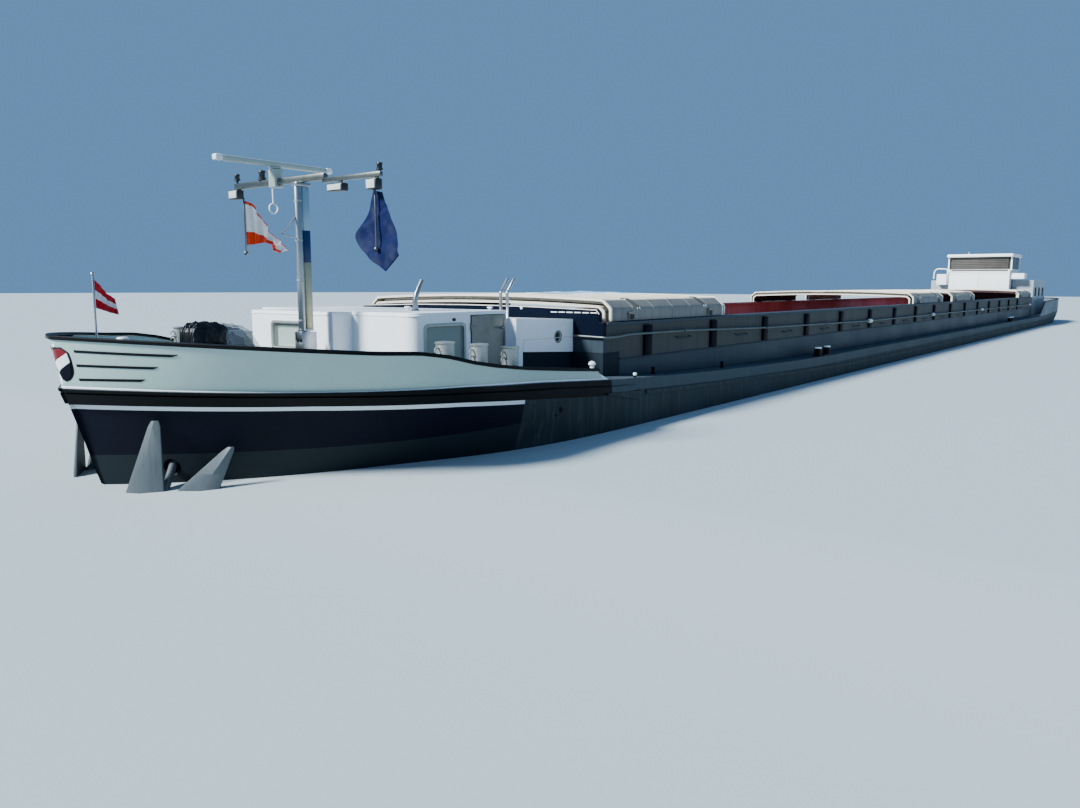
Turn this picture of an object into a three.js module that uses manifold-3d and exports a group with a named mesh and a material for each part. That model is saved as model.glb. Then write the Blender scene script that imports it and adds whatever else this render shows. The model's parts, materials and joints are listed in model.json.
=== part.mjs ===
// Inland motor barge with telescoping hatch covers: millimetres, +X to the bow, +Y to port, +Z up.
// All sizes are those of the full-size ship, in the ship's own frame: X = 0 amidships, Y = 0 on the
// centreline and Z = 0 at the keel. The last group scales the ship to a half-size model.
import * as THREE from 'three';
import { mergeVertices } from 'three/addons/utils/BufferGeometryUtils.js';
import Module from 'manifold-3d';

const wasm = await Module();
wasm.setup();

// Driving dimensions
const MODEL_SCALE = 0.5;
const GAP = 0.8;                    // clearance between neighbouring pieces
const SEAT = 1.6;                   // clearance under pieces that follow a curved edge
const HALF_LENGTH = 36750;
const HALF_BEAM = 4050;             // moulded half-breadth of the parallel body
const WATERLINE = 2150;
const PLATE = 50;                   // bulwark plating with its stiffeners
const RAIL = { outside: 30, inside: 80, height: 90 };

const COAMING = { front: 28180, aft: -24400, inner: 3380, outer: 3500, top: 4115 };
const FLANGE = { inner: 3200, outer: 3530, thick: 60 };
const FRAME_STRIP = {
  first: 26670, spacing: 3000, count: 16, width: 280, bottom: 3413, top: 4024, proud: 18,
};
const HOLD = { front: 27700, aft: -23900, floor: 450 };
const END_WALL = { thick: 100, side: 3400, sideTop: 4290, shoulder: 3334, shoulderTop: 4369, crown: 4425 };

const COVER = { length: 4920, side: 3440, sideTop: 4380, shoulder: 3240, shoulderTop: 4550, crown: 4630 };
const COVER_WALL = 40;
const COVER_STEP = 65;              // one cover size to the next: wall plus running clearance
const RUNNER = { length: 200, fromEnd: 620, height: 14 };
const COVER_SIZES = { small: 2 * COVER_STEP, medium: COVER_STEP, large: 0 };

const CABIN = {
  front: 32820, portShoulder: 32400, starboardShoulder: 31700, aft: 30080, trunk: 1130, side: 2600,
  roof: 4380, wall: 60,
};
const CABIN_DOOR = { front: 31050, aft: 30130, bottom: 3320, top: 4320, thick: 45 };
const LOCKER = { front: 30060, aft: 28300, side: 2800, roofFront: 4235, roofAft: 4170, wall: 90 };
const LOCKER_BASE = { skirt: 29870, recess: 30, ledgeFront: 3622, ledgeAft: 3535 };

const HINGE = 20;                   // radius of the door hinge barrels

const MAST = { x: 33260, y: 918, pivotX: 33188, pivot: 3950, tube: 57, top: 6440 };
const ARM = { x: 33200, middle: 6490, half: 50, port: 1560, starboard: -840 };
const ARM_TIP = { middle: 6432, half: 38, from: 1500, to: 2830 };
const RADAR = { x: 33200, y: 290, height: 6772, length: 2230, half: 46 };

const WHEELHOUSE = {
  front: -25000, aft: -28200, side: 1930, band: 2040, floor: 4650, sill: 6000, head: 6850, wall: 110,
};
const WHEELHOUSE_ROOF = { front: -24750, aft: -28500, side: 2100, top: 7065 };
const DECKHOUSE = { front: -25900, aft: -31600, side: 3300, roof: 5250, wall: 60 };
const PROPELLER = { radius: 650, height: 850, front: -32310, aft: -33150, blades: 4 };
const NOZZLE = { inner: 670, outer: 780, front: -32500, aft: -33300 };
const RUDDER = { stock: -34250, front: -33950, aft: -35100, y: 420, bottom: 150, top: 1540 };

// The sheer of the deck at the side, as points of x and height joined by straight lines
const SHEER = [
  [-HALF_LENGTH, 3180], [-32000, 2990], [-28000, 2870], [-24000, 2806], [17000, 2815], [19500, 2835],
  [22000, 2880], [24250, 2930], [26500, 3008], [28750, 3108], [31000, 3250], [32600, 3322],
  [34000, 3347], [HALF_LENGTH, 3390],
];

// Materials
function paint(color, roughness, metalness = 0) {
  return new THREE.MeshStandardMaterial({ color, roughness, metalness });
}
const FINISH = {
  hull: paint(0x2e3a42, 0.7),
  bulwark: paint(0xa9bcc4, 0.45),
  rail: paint(0x15171a, 0.4),
  coaming: paint(0x3c4a55, 0.6),
  navy: paint(0x14255c, 0.5),
  cover: paint(0x9b9a90, 0.5, 0.6),
  white: paint(0xf2f5f7, 0.35),
  steel: paint(0x9ea3a6, 0.35, 0.9),
  grey: paint(0x9ca4a8, 0.5),
  glass: paint(0x2f3a3a, 0.1),
  radar: paint(0xc9d3cc, 0.4),
  anchor: paint(0x8e9ba3, 0.55, 0.3),
  bronze: paint(0x9a7a3c, 0.35, 0.9),
  tarp: paint(0x1b2130, 0.8),
  flagRed: paint(0xc8202c, 0.8),
  flagOrange: paint(0xe2542a, 0.8),
  flagBlue: paint(0x1c3a9a, 0.8),
};

const ship = new THREE.Group();

// Solids and their geometry
function solidOf(geometry) {
  const bare = geometry.clone();
  for (const name of Object.keys(bare.attributes)) {
    if (name !== 'position') bare.deleteAttribute(name);
  }
  const merged = mergeVertices(bare, 0.01);
  const mesh = new wasm.Mesh({
    numProp: 3,
    vertProperties: merged.attributes.position.array,
    triVerts: new Uint32Array(merged.index.array),
  });
  return new wasm.Manifold(mesh);
}

function geometryOf(solid) {
  const mesh = solid.getMesh();
  const geometry = new THREE.BufferGeometry();
  geometry.setAttribute('position', new THREE.BufferAttribute(mesh.vertProperties, 3));
  geometry.setIndex(new THREE.BufferAttribute(mesh.triVerts, 1));
  geometry.computeVertexNormals();
  return geometry;
}

function join(solids) {
  return solids.reduce((whole, solid) => whole.add(solid));
}

function cut(solid, tools) {
  return tools.reduce((whole, tool) => whole.subtract(tool), solid);
}

// Both sides of the ship: runs make(side) with +1 for port and -1 for starboard
function bothSides(make) {
  return [1, -1].flatMap((side) => make(side));
}

function addPiece(name, solid, finish) {
  const mesh = new THREE.Mesh(geometryOf(solid), finish);
  mesh.name = name;
  ship.add(mesh);
}

// Basic shapes
function box(x0, x1, y0, y1, z0, z1) {
  const [lowX, highX] = [Math.min(x0, x1), Math.max(x0, x1)];
  const [lowY, highY] = [Math.min(y0, y1), Math.max(y0, y1)];
  const geometry = new THREE.BoxGeometry(highX - lowX, highY - lowY, z1 - z0);
  geometry.translate((lowX + highX) / 2, (lowY + highY) / 2, (z0 + z1) / 2);
  return solidOf(geometry);
}

function shapeOf(points) {
  return new THREE.Shape(points.map(([u, v]) => new THREE.Vector2(u, v)));
}

// A plan outline, raised from z0 to z1
function planPrism(points, z0, z1) {
  const geometry = new THREE.ExtrudeGeometry(shapeOf(points), { depth: z1 - z0, bevelEnabled: false });
  geometry.translate(0, 0, z0);
  return solidOf(geometry);
}

// A side-view outline of x and z, carried across from y0 to y1
function sidePrism(points, y0, y1) {
  const [low, high] = [Math.min(y0, y1), Math.max(y0, y1)];
  const geometry = new THREE.ExtrudeGeometry(shapeOf(points), { depth: high - low, bevelEnabled: false });
  geometry.rotateX(Math.PI / 2);
  geometry.translate(0, high, 0);
  return solidOf(geometry);
}

// A cross-section outline of y and z, carried along from x0 to x1
function sectionPrism(points, x0, x1) {
  const [low, high] = [Math.min(x0, x1), Math.max(x0, x1)];
  const geometry = new THREE.ExtrudeGeometry(shapeOf(points), { depth: high - low, bevelEnabled: false });
  geometry.rotateY(Math.PI / 2);
  geometry.rotateX(Math.PI / 2);
  geometry.translate(low, 0, 0);
  return solidOf(geometry);
}

// A cylinder or cone between two points
function rod(start, end, radiusStart, radiusEnd = radiusStart, sides = 12) {
  const from = new THREE.Vector3(...start);
  const to = new THREE.Vector3(...end);
  const axis = to.clone().sub(from);
  const geometry = new THREE.CylinderGeometry(radiusEnd, radiusStart, axis.length(), sides);
  geometry.applyQuaternion(
    new THREE.Quaternion().setFromUnitVectors(new THREE.Vector3(0, 1, 0), axis.clone().normalize()));
  geometry.translate(...from.add(to).multiplyScalar(0.5).toArray());
  return solidOf(geometry);
}

function ball(centre, radius, sides = 12) {
  const geometry = new THREE.SphereGeometry(radius, sides, Math.round(sides / 2));
  geometry.translate(...centre);
  return solidOf(geometry);
}

// One hinge barrel of a door, centred on the axis that the door turns on
function barrel(x, y, z) {
  return rod([x, y, z - 60], [x, y, z + 60], HINGE, HINGE, 12);
}

// A pipe of joined straight lengths with a ball at each bend
function pipe(points, radius, sides = 8) {
  const lengths = points.slice(1).map((point, i) => rod(points[i], point, radius, radius, sides));
  const bends = points.slice(1, -1).map((point) => ball(point, radius * 1.02, sides));
  return join([...lengths, ...bends]);
}

// Closed body through rings of points. A ring lists its points so that point i and point
// (count - 1 - i) face each other, which is how the two ends are closed.
function loft(rings) {
  const count = rings[0].length;
  const index = [];
  for (let r = 0; r + 1 < rings.length; r += 1) {
    for (let i = 0; i < count; i += 1) {
      const a = r * count + i;
      const b = r * count + ((i + 1) % count);
      index.push(a, b, b + count, a, b + count, a + count);
    }
  }
  const last = (rings.length - 1) * count;
  for (let i = 0; i + 1 < count / 2; i += 1) {
    const j = count - 1 - i;
    index.push(i, j, j - 1, i, j - 1, i + 1);
    index.push(last + i, last + j - 1, last + j, last + i, last + i + 1, last + j - 1);
  }
  const geometry = new THREE.BufferGeometry();
  geometry.setAttribute('position', new THREE.Float32BufferAttribute(rings.flat(2), 3));
  geometry.setIndex(index);
  const solid = solidOf(geometry);
  if (solid.volume() > 0) return solid;
  return loft(rings.map((ring) => [...ring].reverse()));
}

// Straight-line reading of a table of [x, value] rows in rising x
function readTable(table, x) {
  const next = table.findIndex(([at]) => at >= x);
  if (next <= 0) return next === 0 ? table[0][1] : table[table.length - 1][1];
  const [x0, v0] = table[next - 1];
  const [x1, v1] = table[next];
  return v0 + ((v1 - v0) * (x - x0)) / (x1 - x0);
}

function smooth(t) {
  const s = THREE.MathUtils.clamp(t, 0, 1);
  return s * s * (3 - 2 * s);
}

function deckHeight(x) {
  return readTable(SHEER, x);
}

// Hull form. Each level is a waterplane: its height at the side, its half-breadth in the parallel
// body, the stem, the fore shoulder and the fullness of the bow, then the end, the aft shoulder and
// the half-breadth and height at the end of the stern.
const STEM_HALF = 40;
const LEVELS = [
  // height, breadth, stem, foreShoulder, fullness, end, aftShoulder, endBreadth, endHeight
  [0, 3720, 34500, 24000, 2.2, -35300, -25000, 900, 1640],
  [300, 4050, 35250, 25500, 2.6, -35500, -26000, 1500, 1690],
  [1100, 4050, 35900, 26500, 3.0, -35900, -27000, 2100, 1800],
  [WATERLINE, 4050, 36250, 27500, 3.3, -36300, -29000, 2700, WATERLINE],
  [-268, 4050, 36520, 30000, 3.1, -36630, -31500, 3000, -268],
  [0, 4050, 36620, 31000, 3.0, -36720, -32000, 3100, 0],
].map(([height, breadth, stem, foreShoulder, fullness, end, aftShoulder, endBreadth, endHeight], i) => ({
  height, breadth, stem, foreShoulder, fullness, end, aftShoulder, endBreadth, endHeight,
  fromDeck: i > 3,
}));
const DECK = LEVELS[LEVELS.length - 1];
const LINE = LEVELS[LEVELS.length - 2];

// Stations along the hull: share of the way from the fore shoulder to the stem, and so on aft
const FORE_SHARES = [1, 0.985, 0.955, 0.91, 0.85, 0.78, 0.7, 0.6, 0.48, 0.34, 0.18, 0];
const FORE_BLEND = [0.25, 0.5, 0.75, 1];
const BODY_STATIONS = [19500, 17000, -24000];
const AFT_BLEND = [0.5, 1];
const AFT_SHARES = [0.12, 0.24, 0.36, 0.48, 0.6, 0.7, 0.8, 0.88, 0.94, 0.98, 1];
const BODY_FRONT = 22000;
const BODY_AFT = -24000;

function levelHeight(level, x, share) {
  const base = level.fromDeck ? deckHeight(x) : 0;
  return base + level.height + (level.endHeight - level.height) * smooth(share / 0.72);
}

function foreBreadth(level, share) {
  return STEM_HALF + (level.breadth - STEM_HALF) * (1 - share ** level.fullness);
}

function aftBreadth(level, share) {
  return level.breadth - (level.breadth - level.endBreadth) * share ** 2.8;
}

// One point of each station on a level: [x, half-breadth, height]
function levelPoints(level) {
  const fore = FORE_SHARES.map((share) => {
    const x = level.foreShoulder + (level.stem - level.foreShoulder) * share;
    return [x, foreBreadth(level, share), levelHeight(level, x, 0)];
  });
  const blended = FORE_BLEND.map((part) => level.foreShoulder + (BODY_FRONT - level.foreShoulder) * part);
  const towardsAft = AFT_BLEND.map((part) => BODY_AFT + (level.aftShoulder - BODY_AFT) * part);
  const body = [...blended, ...BODY_STATIONS, ...towardsAft]
    .map((x) => [x, level.breadth, levelHeight(level, x, 0)]);
  const aft = AFT_SHARES.map((share) => {
    const x = level.aftShoulder + (level.end - level.aftShoulder) * share;
    return [x, aftBreadth(level, share), levelHeight(level, x, share)];
  });
  return [...fore, ...body, ...aft];
}

// The rubbing band at the bow stands out from the side between the painted line and the deck:
// rows of share up from the line to the deck, and share of the band's thickness
const BAND_PROFILE = [
  [0.3, 0], [0.32, 1], [0.58, 1], [0.62, 0.35], [0.68, 0.35], [0.72, 1], [0.98, 1], [1, 0],
];
const BAND_THICK = 60;
const BAND_FADE = { from: 26500, to: 28750 };

function hullLoft() {
  const columns = LEVELS.slice(0, -1).map(levelPoints);
  const line = levelPoints(LINE);
  const deck = levelPoints(DECK);
  for (const [up, out] of BAND_PROFILE) {
    columns.push(line.map(([x, y, z], i) => {
      const [deckX, deckY, deckZ] = deck[i];
      const fade = THREE.MathUtils.clamp((deckX - BAND_FADE.from) / (BAND_FADE.to - BAND_FADE.from), 0, 1);
      const thick = BAND_THICK * out * fade;
      const ahead = i < 2 ? 0.9 : 0.35;
      return [
        x + (deckX - x) * up + thick * (i < FORE_SHARES.length ? ahead : 0),
        y + (deckY - y) * up + (i === 0 ? 0 : thick * 0.8),
        z + (deckZ - z) * up,
      ];
    }));
  }
  const rings = columns[0].map((_, i) => {
    const port = columns.map((column) => column[i]);
    const starboard = port.map(([x, y, z]) => [x, -y, z]).reverse();
    return [...port, ...starboard];
  });
  return loft(rings);
}

// The space below the deck line, for pieces that stand on the deck
function belowDeck(x0, x1) {
  const knots = SHEER.map(([x]) => x).filter((x) => x > x0 && x < x1);
  const top = [x0, ...knots, x1].map((x) => [x, deckHeight(x) + GAP]);
  return sidePrism([[x0, 0], ...top, [x1, 0]], -HALF_BEAM - 500, HALF_BEAM + 500);
}

const BOLLARDS = [
  // x, distance from the centreline
  [17340, 3900], [-13900, 3900], [-29500, 3760],
];
const VENTS = [
  // x, height of the top
  [32769, 4000], [32014, 3931], [31260, 3852],
];

function addHull() {
  const keelEnd = PROPELLER.front + GAP;
  const skeg = sidePrism([[-24500, 0], [keelEnd, 0], [keelEnd, 1600], [-24500, 60]], -150, 150);
  const shaftBoss = rod([-30800, 0, PROPELLER.height], [keelEnd, 0, PROPELLER.height], 190, 170);
  const ringProfile = [
    [NOZZLE.inner, NOZZLE.aft], [NOZZLE.outer, NOZZLE.aft + 120],
    [NOZZLE.outer, NOZZLE.front - 60], [NOZZLE.inner + 40, NOZZLE.front], [NOZZLE.inner, NOZZLE.front - 120],
    [NOZZLE.inner, NOZZLE.aft],
  ].map(([radius, x]) => new THREE.Vector2(radius, x));
  const ring = new THREE.LatheGeometry(ringProfile, 28);
  ring.rotateZ(-Math.PI / 2);
  ring.translate(0, 0, PROPELLER.height);
  const headBox = box(NOZZLE.aft + 140, NOZZLE.front - 90, -160, 160, 1560, 1700);
  const strakes = bothSides((side) => [
    box(-29500, 27000, side * (HALF_BEAM - 20), side * (HALF_BEAM + 45), 2470, 2550)]);
  const bollards = bothSides((side) => BOLLARDS.map(([x, across]) => {
    const foot = deckHeight(x) - 20;
    const y = side * across;
    const posts = [-370, 370].map((along) => rod([x + along, y, foot], [x + along, y, foot + 285], 105));
    return join([...posts, box(x - 480, x + 480, y - 110, y + 110, foot, foot + 45)]);
  }));
  const vents = bothSides((side) => VENTS.map(([x, top]) =>
    rod([x, side * 3650, deckHeight(x) - 20], [x, side * 3650, top], 150)));
  const mushrooms = bothSides((side) => [
    join([
      rod([29100, side * 3800, 3080], [29100, side * 3800, 3480], 60),
      rod([29100, side * 3800, 3440], [29100, side * 3800, 3540], 115, 70),
    ])]);
  const bowBitt = join([
    rod([35750, 0, 3340], [35750, 0, 4060], 85),
    rod([35750, -230, 3900], [35750, 230, 3900], 50),
  ]);
  const hold = box(HOLD.aft, HOLD.front, -COAMING.inner, COAMING.inner, HOLD.floor, 4000);
  const hawse = bothSides((side) => [hawsePocket(side)]);
  const body = cut(hullLoft(), [hold, ...hawse]);
  const raised = [
    solidOf(ring), headBox, skeg, shaftBoss, bowBitt, ...strakes, ...bollards, ...vents, ...mushrooms,
  ];
  addPiece('hull', join([body, ...raised]), FINISH.hull);
}

// Bulwarks and rails follow a line of points; offsets are measured in plan, to the right of the way
function planOffset(line, distance) {
  return line.map(([x, y, z], i) => {
    const before = line[Math.max(i - 1, 0)];
    const after = line[Math.min(i + 1, line.length - 1)];
    const [ax, ay] = [x - before[0], y - before[1]];
    const [bx, by] = [after[0] - x, after[1] - y];
    const first = Math.hypot(ax, ay) || 1;
    const second = Math.hypot(bx, by) || 1;
    const [dx, dy] = [ax / first + bx / second, ay / first + by / second];
    const length = Math.hypot(dx, dy);
    const half = first === 1 || second === 1 ? 1 : length / 2;
    return [x + (dy / length) * (distance / half), y - (dx / length) * (distance / half), z];
  });
}

function raisedBy(line, height) {
  return line.map(([x, y, z]) => [x, y, z + height]);
}

// Plating between a bottom line and a top line
function plating(bottom, top) {
  const innerBottom = planOffset(bottom, PLATE).map(([x, y, z]) => [x, y, Math.max(z, deckHeight(x) + SEAT)]);
  const innerTop = planOffset(top, PLATE);
  return loft(bottom.map((point, i) => [point, top[i], innerTop[i], innerBottom[i]]));
}

// A flat bar along the top edge of a bulwark
function capRail(line) {
  const outside = planOffset(line, -RAIL.outside);
  const inside = planOffset(line, RAIL.inside);
  return loft(line.map((_, i) => [
    raisedBy([outside[i]], SEAT)[0],
    raisedBy([outside[i]], RAIL.height)[0],
    raisedBy([inside[i]], RAIL.height)[0],
    raisedBy([inside[i]], SEAT)[0],
  ]));
}

const BULWARK_TOP = { breadth: 4090, stem: HALF_LENGTH - RAIL.outside, foreShoulder: 31500, fullness: 3.9 };
const BULWARK_HEIGHT = [
  [29200, 3279], [30200, 3360], [31400, 3471], [32100, 3560], [32600, 3645], [33100, 3760], [33600, 3835],
  [34200, 3862], [HALF_LENGTH, 4056],
];
const BOW_END = 29200;

// Port half of the bow bulwark, from its aft end to the stem: [share, blend] rows
function bowLine(level, heightAt) {
  const aftPart = [1, 0.78, 0.56, 0.3].map((part) => {
    const x = level.foreShoulder + (BOW_END - level.foreShoulder) * part;
    return [x, level.breadth, heightAt(x)];
  });
  const forePart = [...FORE_SHARES].reverse().map((share) => {
    const x = level.foreShoulder + (level.stem - level.foreShoulder) * share;
    return [x, foreBreadth(level, share), heightAt(x)];
  });
  const port = [...aftPart, ...forePart];
  const starboard = port.map(([x, y, z]) => [x, -y, z]).reverse();
  return [...port, ...starboard];
}

function addBowBulwark() {
  const bottom = bowLine(DECK, (x) => deckHeight(x) + SEAT);
  const top = bowLine(BULWARK_TOP, (x) => readTable(BULWARK_HEIGHT, x));
  addPiece('bow_bulwark', plating(bottom, top), FINISH.bulwark);
  const stemBitt = join([
    box(36440, 36690, -90, 90, 4070, 4150),
    box(36480, 36660, -130, 130, 4145, 4170),
  ]);
  addPiece('bow_rail', join([capRail(top), stemBitt]), FINISH.rail);
}

// The stern bulwark runs from starboard round the end to port
const STERN_FRONT = -24600;
const STERN_HEIGHT = [
  [-HALF_LENGTH, 3900], [-30000, 3820], [-26200, 3760], [-25000, 3250], [STERN_FRONT, 3000],
];

function addSternBulwark() {
  const aft = levelPoints(DECK).slice(-AFT_SHARES.length);
  const side = [STERN_FRONT, -25000, -26200, -28000, -30000, DECK.aftShoulder]
    .map((x) => [x, DECK.breadth, deckHeight(x)]);
  const port = [...side, ...aft].map(([x, y, z]) => [x, y, z + SEAT]);
  const starboard = port.map(([x, y, z]) => [x, -y, z]);
  const bottom = [...starboard, ...port.reverse()];
  const top = bottom.map(([x, y]) => [x, y, readTable(STERN_HEIGHT, x)]);
  addPiece('stern_bulwark', plating(bottom, top), FINISH.grey);
  addPiece('stern_rail', capRail(top), FINISH.rail);
}

// Hatch coamings: wall, top flange, seam rib, frame strips and the pipe along each side
const PIPE_ROUTE = [
  // x, height
  [28100, 3830], [27976, 3835], [27464, 3865], [25099, 3849], [20702, 3745], [11854, 3643], [-24200, 3630],
];
const PIPE = { offset: 90, radius: 26 };

function addCoamings() {
  const start = COAMING.aft + END_WALL.thick;
  const knots = SHEER.map(([x]) => x).filter((x) => x > start && x < COAMING.front);
  const foot = [start, ...knots, COAMING.front].map((x) => [x, deckHeight(x) + GAP]);
  const outline = [...foot, [COAMING.front, COAMING.top], [start, COAMING.top]];
  for (const [name, side] of [['coaming_port', 1], ['coaming_starboard', -1]]) {
    const wall = sidePrism(outline, side * COAMING.inner, side * COAMING.outer);
    const flange = box(start, COAMING.front, side * FLANGE.inner, side * FLANGE.outer,
      COAMING.top - FLANGE.thick, COAMING.top);
    const seam = box(start, COAMING.front, side * COAMING.outer, side * (COAMING.outer + 25), 3365, 3400);
    const strips = Array.from({ length: FRAME_STRIP.count }, (_, i) => {
      const x = FRAME_STRIP.first - i * FRAME_STRIP.spacing;
      return box(x - FRAME_STRIP.width / 2, x + FRAME_STRIP.width / 2, side * (COAMING.outer - 10),
        side * (COAMING.outer + FRAME_STRIP.proud), FRAME_STRIP.bottom, FRAME_STRIP.top);
    });
    const line = COAMING.outer + PIPE.offset;
    const run = pipe(PIPE_ROUTE.map(([x, z]) => [x, side * line, z]), PIPE.radius);
    const clamps = Array.from({ length: 11 }, (_, i) => {
      const x = 25170 - i * 4500;
      const z = readTable([...PIPE_ROUTE].reverse(), x);
      return box(x - 40, x + 40, side * (COAMING.outer - 10), side * (line + 35), z - 45, z + 45);
    });
    addPiece(name, join([wall, flange, seam, ...strips, run, ...clamps]), FINISH.coaming);
  }
}

// Half of a cover's cross-section, drawn inset from the largest cover: shoulder, side and crown
function coverArch(inset, foot) {
  const rise = COVER.crown - COVER.shoulderTop;
  const radius = (COVER.shoulder ** 2 + rise ** 2) / (2 * rise);
  const slope = (COVER.shoulderTop - COVER.sideTop) / (COVER.side - COVER.shoulder);
  const lean = Math.hypot(slope, 1) - slope;
  const side = COVER.side - inset;
  const shoulder = COVER.shoulder - inset * 0.39;
  const crownAt = (y) => COVER.crown - inset - y ** 2 / (2 * radius);
  const sideTop = COVER.sideTop - inset * lean;
  const top = [1, 0.66, 0.33].map((part) => [shoulder * part, crownAt(shoulder * part)]);
  const half = [[side, foot], [side, sideTop], ...top];
  const other = half.map(([y, z]) => [-y, z]).reverse();
  return [...half, [0, COVER.crown - inset], ...other];
}

function coverShell(size, x1) {
  const foot = COAMING.top + RUNNER.height;
  const inset = COVER_SIZES[size];
  const outer = sectionPrism(coverArch(inset, foot), x1 - COVER.length, x1);
  const inner = sectionPrism(coverArch(inset + COVER_WALL, foot - 100), x1 - COVER.length - 10, x1 + 10);
  const shell = cut(outer, [inner]);
  const ends = [x1 - RUNNER.fromEnd - RUNNER.length, x1 - COVER.length + RUNNER.fromEnd];
  const edge = COVER.side - inset;
  const runners = bothSides((side) => ends.map((x) =>
    box(x, x + RUNNER.length, side * (edge - COVER_WALL), side * edge, COAMING.top + GAP, foot + 20)));
  const wheelBoxes = size !== 'large' ? [] : bothSides((side) => ends.map((x) =>
    box(x, x + RUNNER.length, side * (edge - 15), side * (edge + 60), foot + 20, foot + 170)));
  return join([shell, ...runners, ...wheelBoxes]);
}

const COVERS = [
  // name, size, x of its front edge at rest
  ['cover_1_small', 'small', 27980], ['cover_1_medium', 'medium', 27700], ['cover_1_large', 'large', 27940],
  ['cover_2_small', 'small', 5850], ['cover_2_medium', 'medium', 5570], ['cover_2_large', 'large', 5810],
  ['cover_3_medium', 'medium', -1140], ['cover_3_large', 'large', -900],
  ['cover_4_small', 'small', -19372], ['cover_4_medium', 'medium', -19300], ['cover_4_large', 'large', -19140],
];

// End walls of the hold, with a low arched top that the smallest cover shuts against
function endWall(x) {
  const foot = Math.max(deckHeight(x), deckHeight(x + END_WALL.thick)) + GAP;
  const { side, sideTop, shoulder, shoulderTop, crown, thick } = END_WALL;
  const half = [
    [side, COAMING.top - 200], [side, sideTop], [shoulder, shoulderTop], [shoulder / 2, crown - 14],
  ];
  const other = half.map(([y, z]) => [-y, z]).reverse();
  const arch = sectionPrism([...half, [0, crown], ...other], x, x + thick);
  return join([arch, box(x, x + thick, -COAMING.outer, COAMING.outer, foot, COAMING.top)]);
}

function addHatches() {
  addPiece('hatch_front_wall', endWall(COAMING.front + GAP), FINISH.navy);
  addPiece('hatch_aft_wall', endWall(COAMING.aft - GAP), FINISH.coaming);
  for (const [name, size, x] of COVERS) addPiece(name, coverShell(size, x), FINISH.cover);
}

// Forward cabin with its trunk, the locker behind it, the door and the panes
function cabinPlan(inset) {
  const { front, portShoulder, starboardShoulder, aft, trunk, side } = CABIN;
  const half = (s, shoulder) => [
    [aft + inset, s * (side - inset)], [shoulder - 200 - inset * 0.4, s * (side - inset)],
    [shoulder - inset, s * (side - 200 - inset * 0.4)], [shoulder - inset, s * (trunk - inset)],
    [front - inset, s * (trunk - inset)],
  ];
  return [...half(1, portShoulder), ...half(-1, starboardShoulder).reverse()];
}

const FRONT_PANE = { half: 500, bottom: 3740, top: 4160 };
const SIDE_PANE = { bottom: 3560, top: 4150 };
const SIDE_PANES = [
  // name, side, aft and front edge
  ['fore_pane_port', 1, 31225, 32120],
  ['fore_pane_starboard', -1, 30400, 31250],
];
const PANE_THICK = 20;
const PANE_FIT = 1;
const ROOF_VENTS = [
  // x, y, radius of the disc
  [31000, 1020, 68], [30250, 2350, 54],
];
const LEVER = { x: 30214, z: 4072, out: 90, reach: 160 };

// An exhaust pipe that stands on a roof and leans aft above its knee
function exhaust(x, y, radius, foot, knee, top, lean) {
  return pipe([[x, y, foot], [x, y, knee], [x - lean, y, top]], radius, 10);
}

function addForeCabin() {
  const shell = cut(planPrism(cabinPlan(0), 3000, CABIN.roof), [
    planPrism(cabinPlan(CABIN.wall), 2900, CABIN.roof - CABIN.wall),
    belowDeck(29000, 33500),
    box(CABIN.front - 200, CABIN.front + 50, -FRONT_PANE.half, FRONT_PANE.half,
      FRONT_PANE.bottom, FRONT_PANE.top),
    ...SIDE_PANES.map(([, side, aft, front]) => box(aft, front, side * (CABIN.side - 150),
      side * (CABIN.side + 50), SIDE_PANE.bottom, SIDE_PANE.top)),
    box(CABIN_DOOR.aft, CABIN_DOOR.front, CABIN.side - 150, CABIN.side + 50,
      CABIN_DOOR.bottom, CABIN_DOOR.top),
  ]);
  const roofVents = ROOF_VENTS.flatMap(([x, y, radius]) => [
    rod([x, y, CABIN.roof - 10], [x, y, CABIN.roof + 40], radius * 0.45),
    rod([x, y, CABIN.roof + 30], [x, y, CABIN.roof + 65], radius, radius * 0.75),
  ]);
  const stack = exhaust(31500, 1730, 47, CABIN.roof - 10, 4622, 4900, 170);
  addPiece('fore_cabin', join([shell, ...roofVents, stack]), FINISH.white);
  addPiece('fore_pane_front', box(CABIN.front - 45, CABIN.front - 45 + PANE_THICK,
    PANE_FIT - FRONT_PANE.half, FRONT_PANE.half - PANE_FIT,
    FRONT_PANE.bottom + PANE_FIT, FRONT_PANE.top - PANE_FIT), FINISH.glass);
  for (const [name, side, aft, front] of SIDE_PANES) {
    addPiece(name, box(aft + PANE_FIT, front - PANE_FIT,
      side * (CABIN.side - 45), side * (CABIN.side - 45 + PANE_THICK),
      SIDE_PANE.bottom + PANE_FIT, SIDE_PANE.top - PANE_FIT), FINISH.glass);
  }
  const inner = CABIN.side - 20;
  const leaf = box(CABIN_DOOR.aft + 12, CABIN_DOOR.front - 12, inner, inner + CABIN_DOOR.thick,
    CABIN_DOOR.bottom + 12, CABIN_DOOR.top - 12);
  const grip = CABIN.side + LEVER.out;
  const lever = pipe([
    [LEVER.x, CABIN.side, LEVER.z], [LEVER.x, grip, LEVER.z], [LEVER.x + LEVER.reach, grip, LEVER.z]], 16);
  const hinges = [0.2, 0.8].map((share) => barrel(CABIN_DOOR.front, CABIN.side + HINGE + GAP,
    CABIN_DOOR.bottom + (CABIN_DOOR.top - CABIN_DOOR.bottom) * share));
  addPiece('fore_cabin_door', join([leaf, lever, ...hinges]), FINISH.steel);
}

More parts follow.
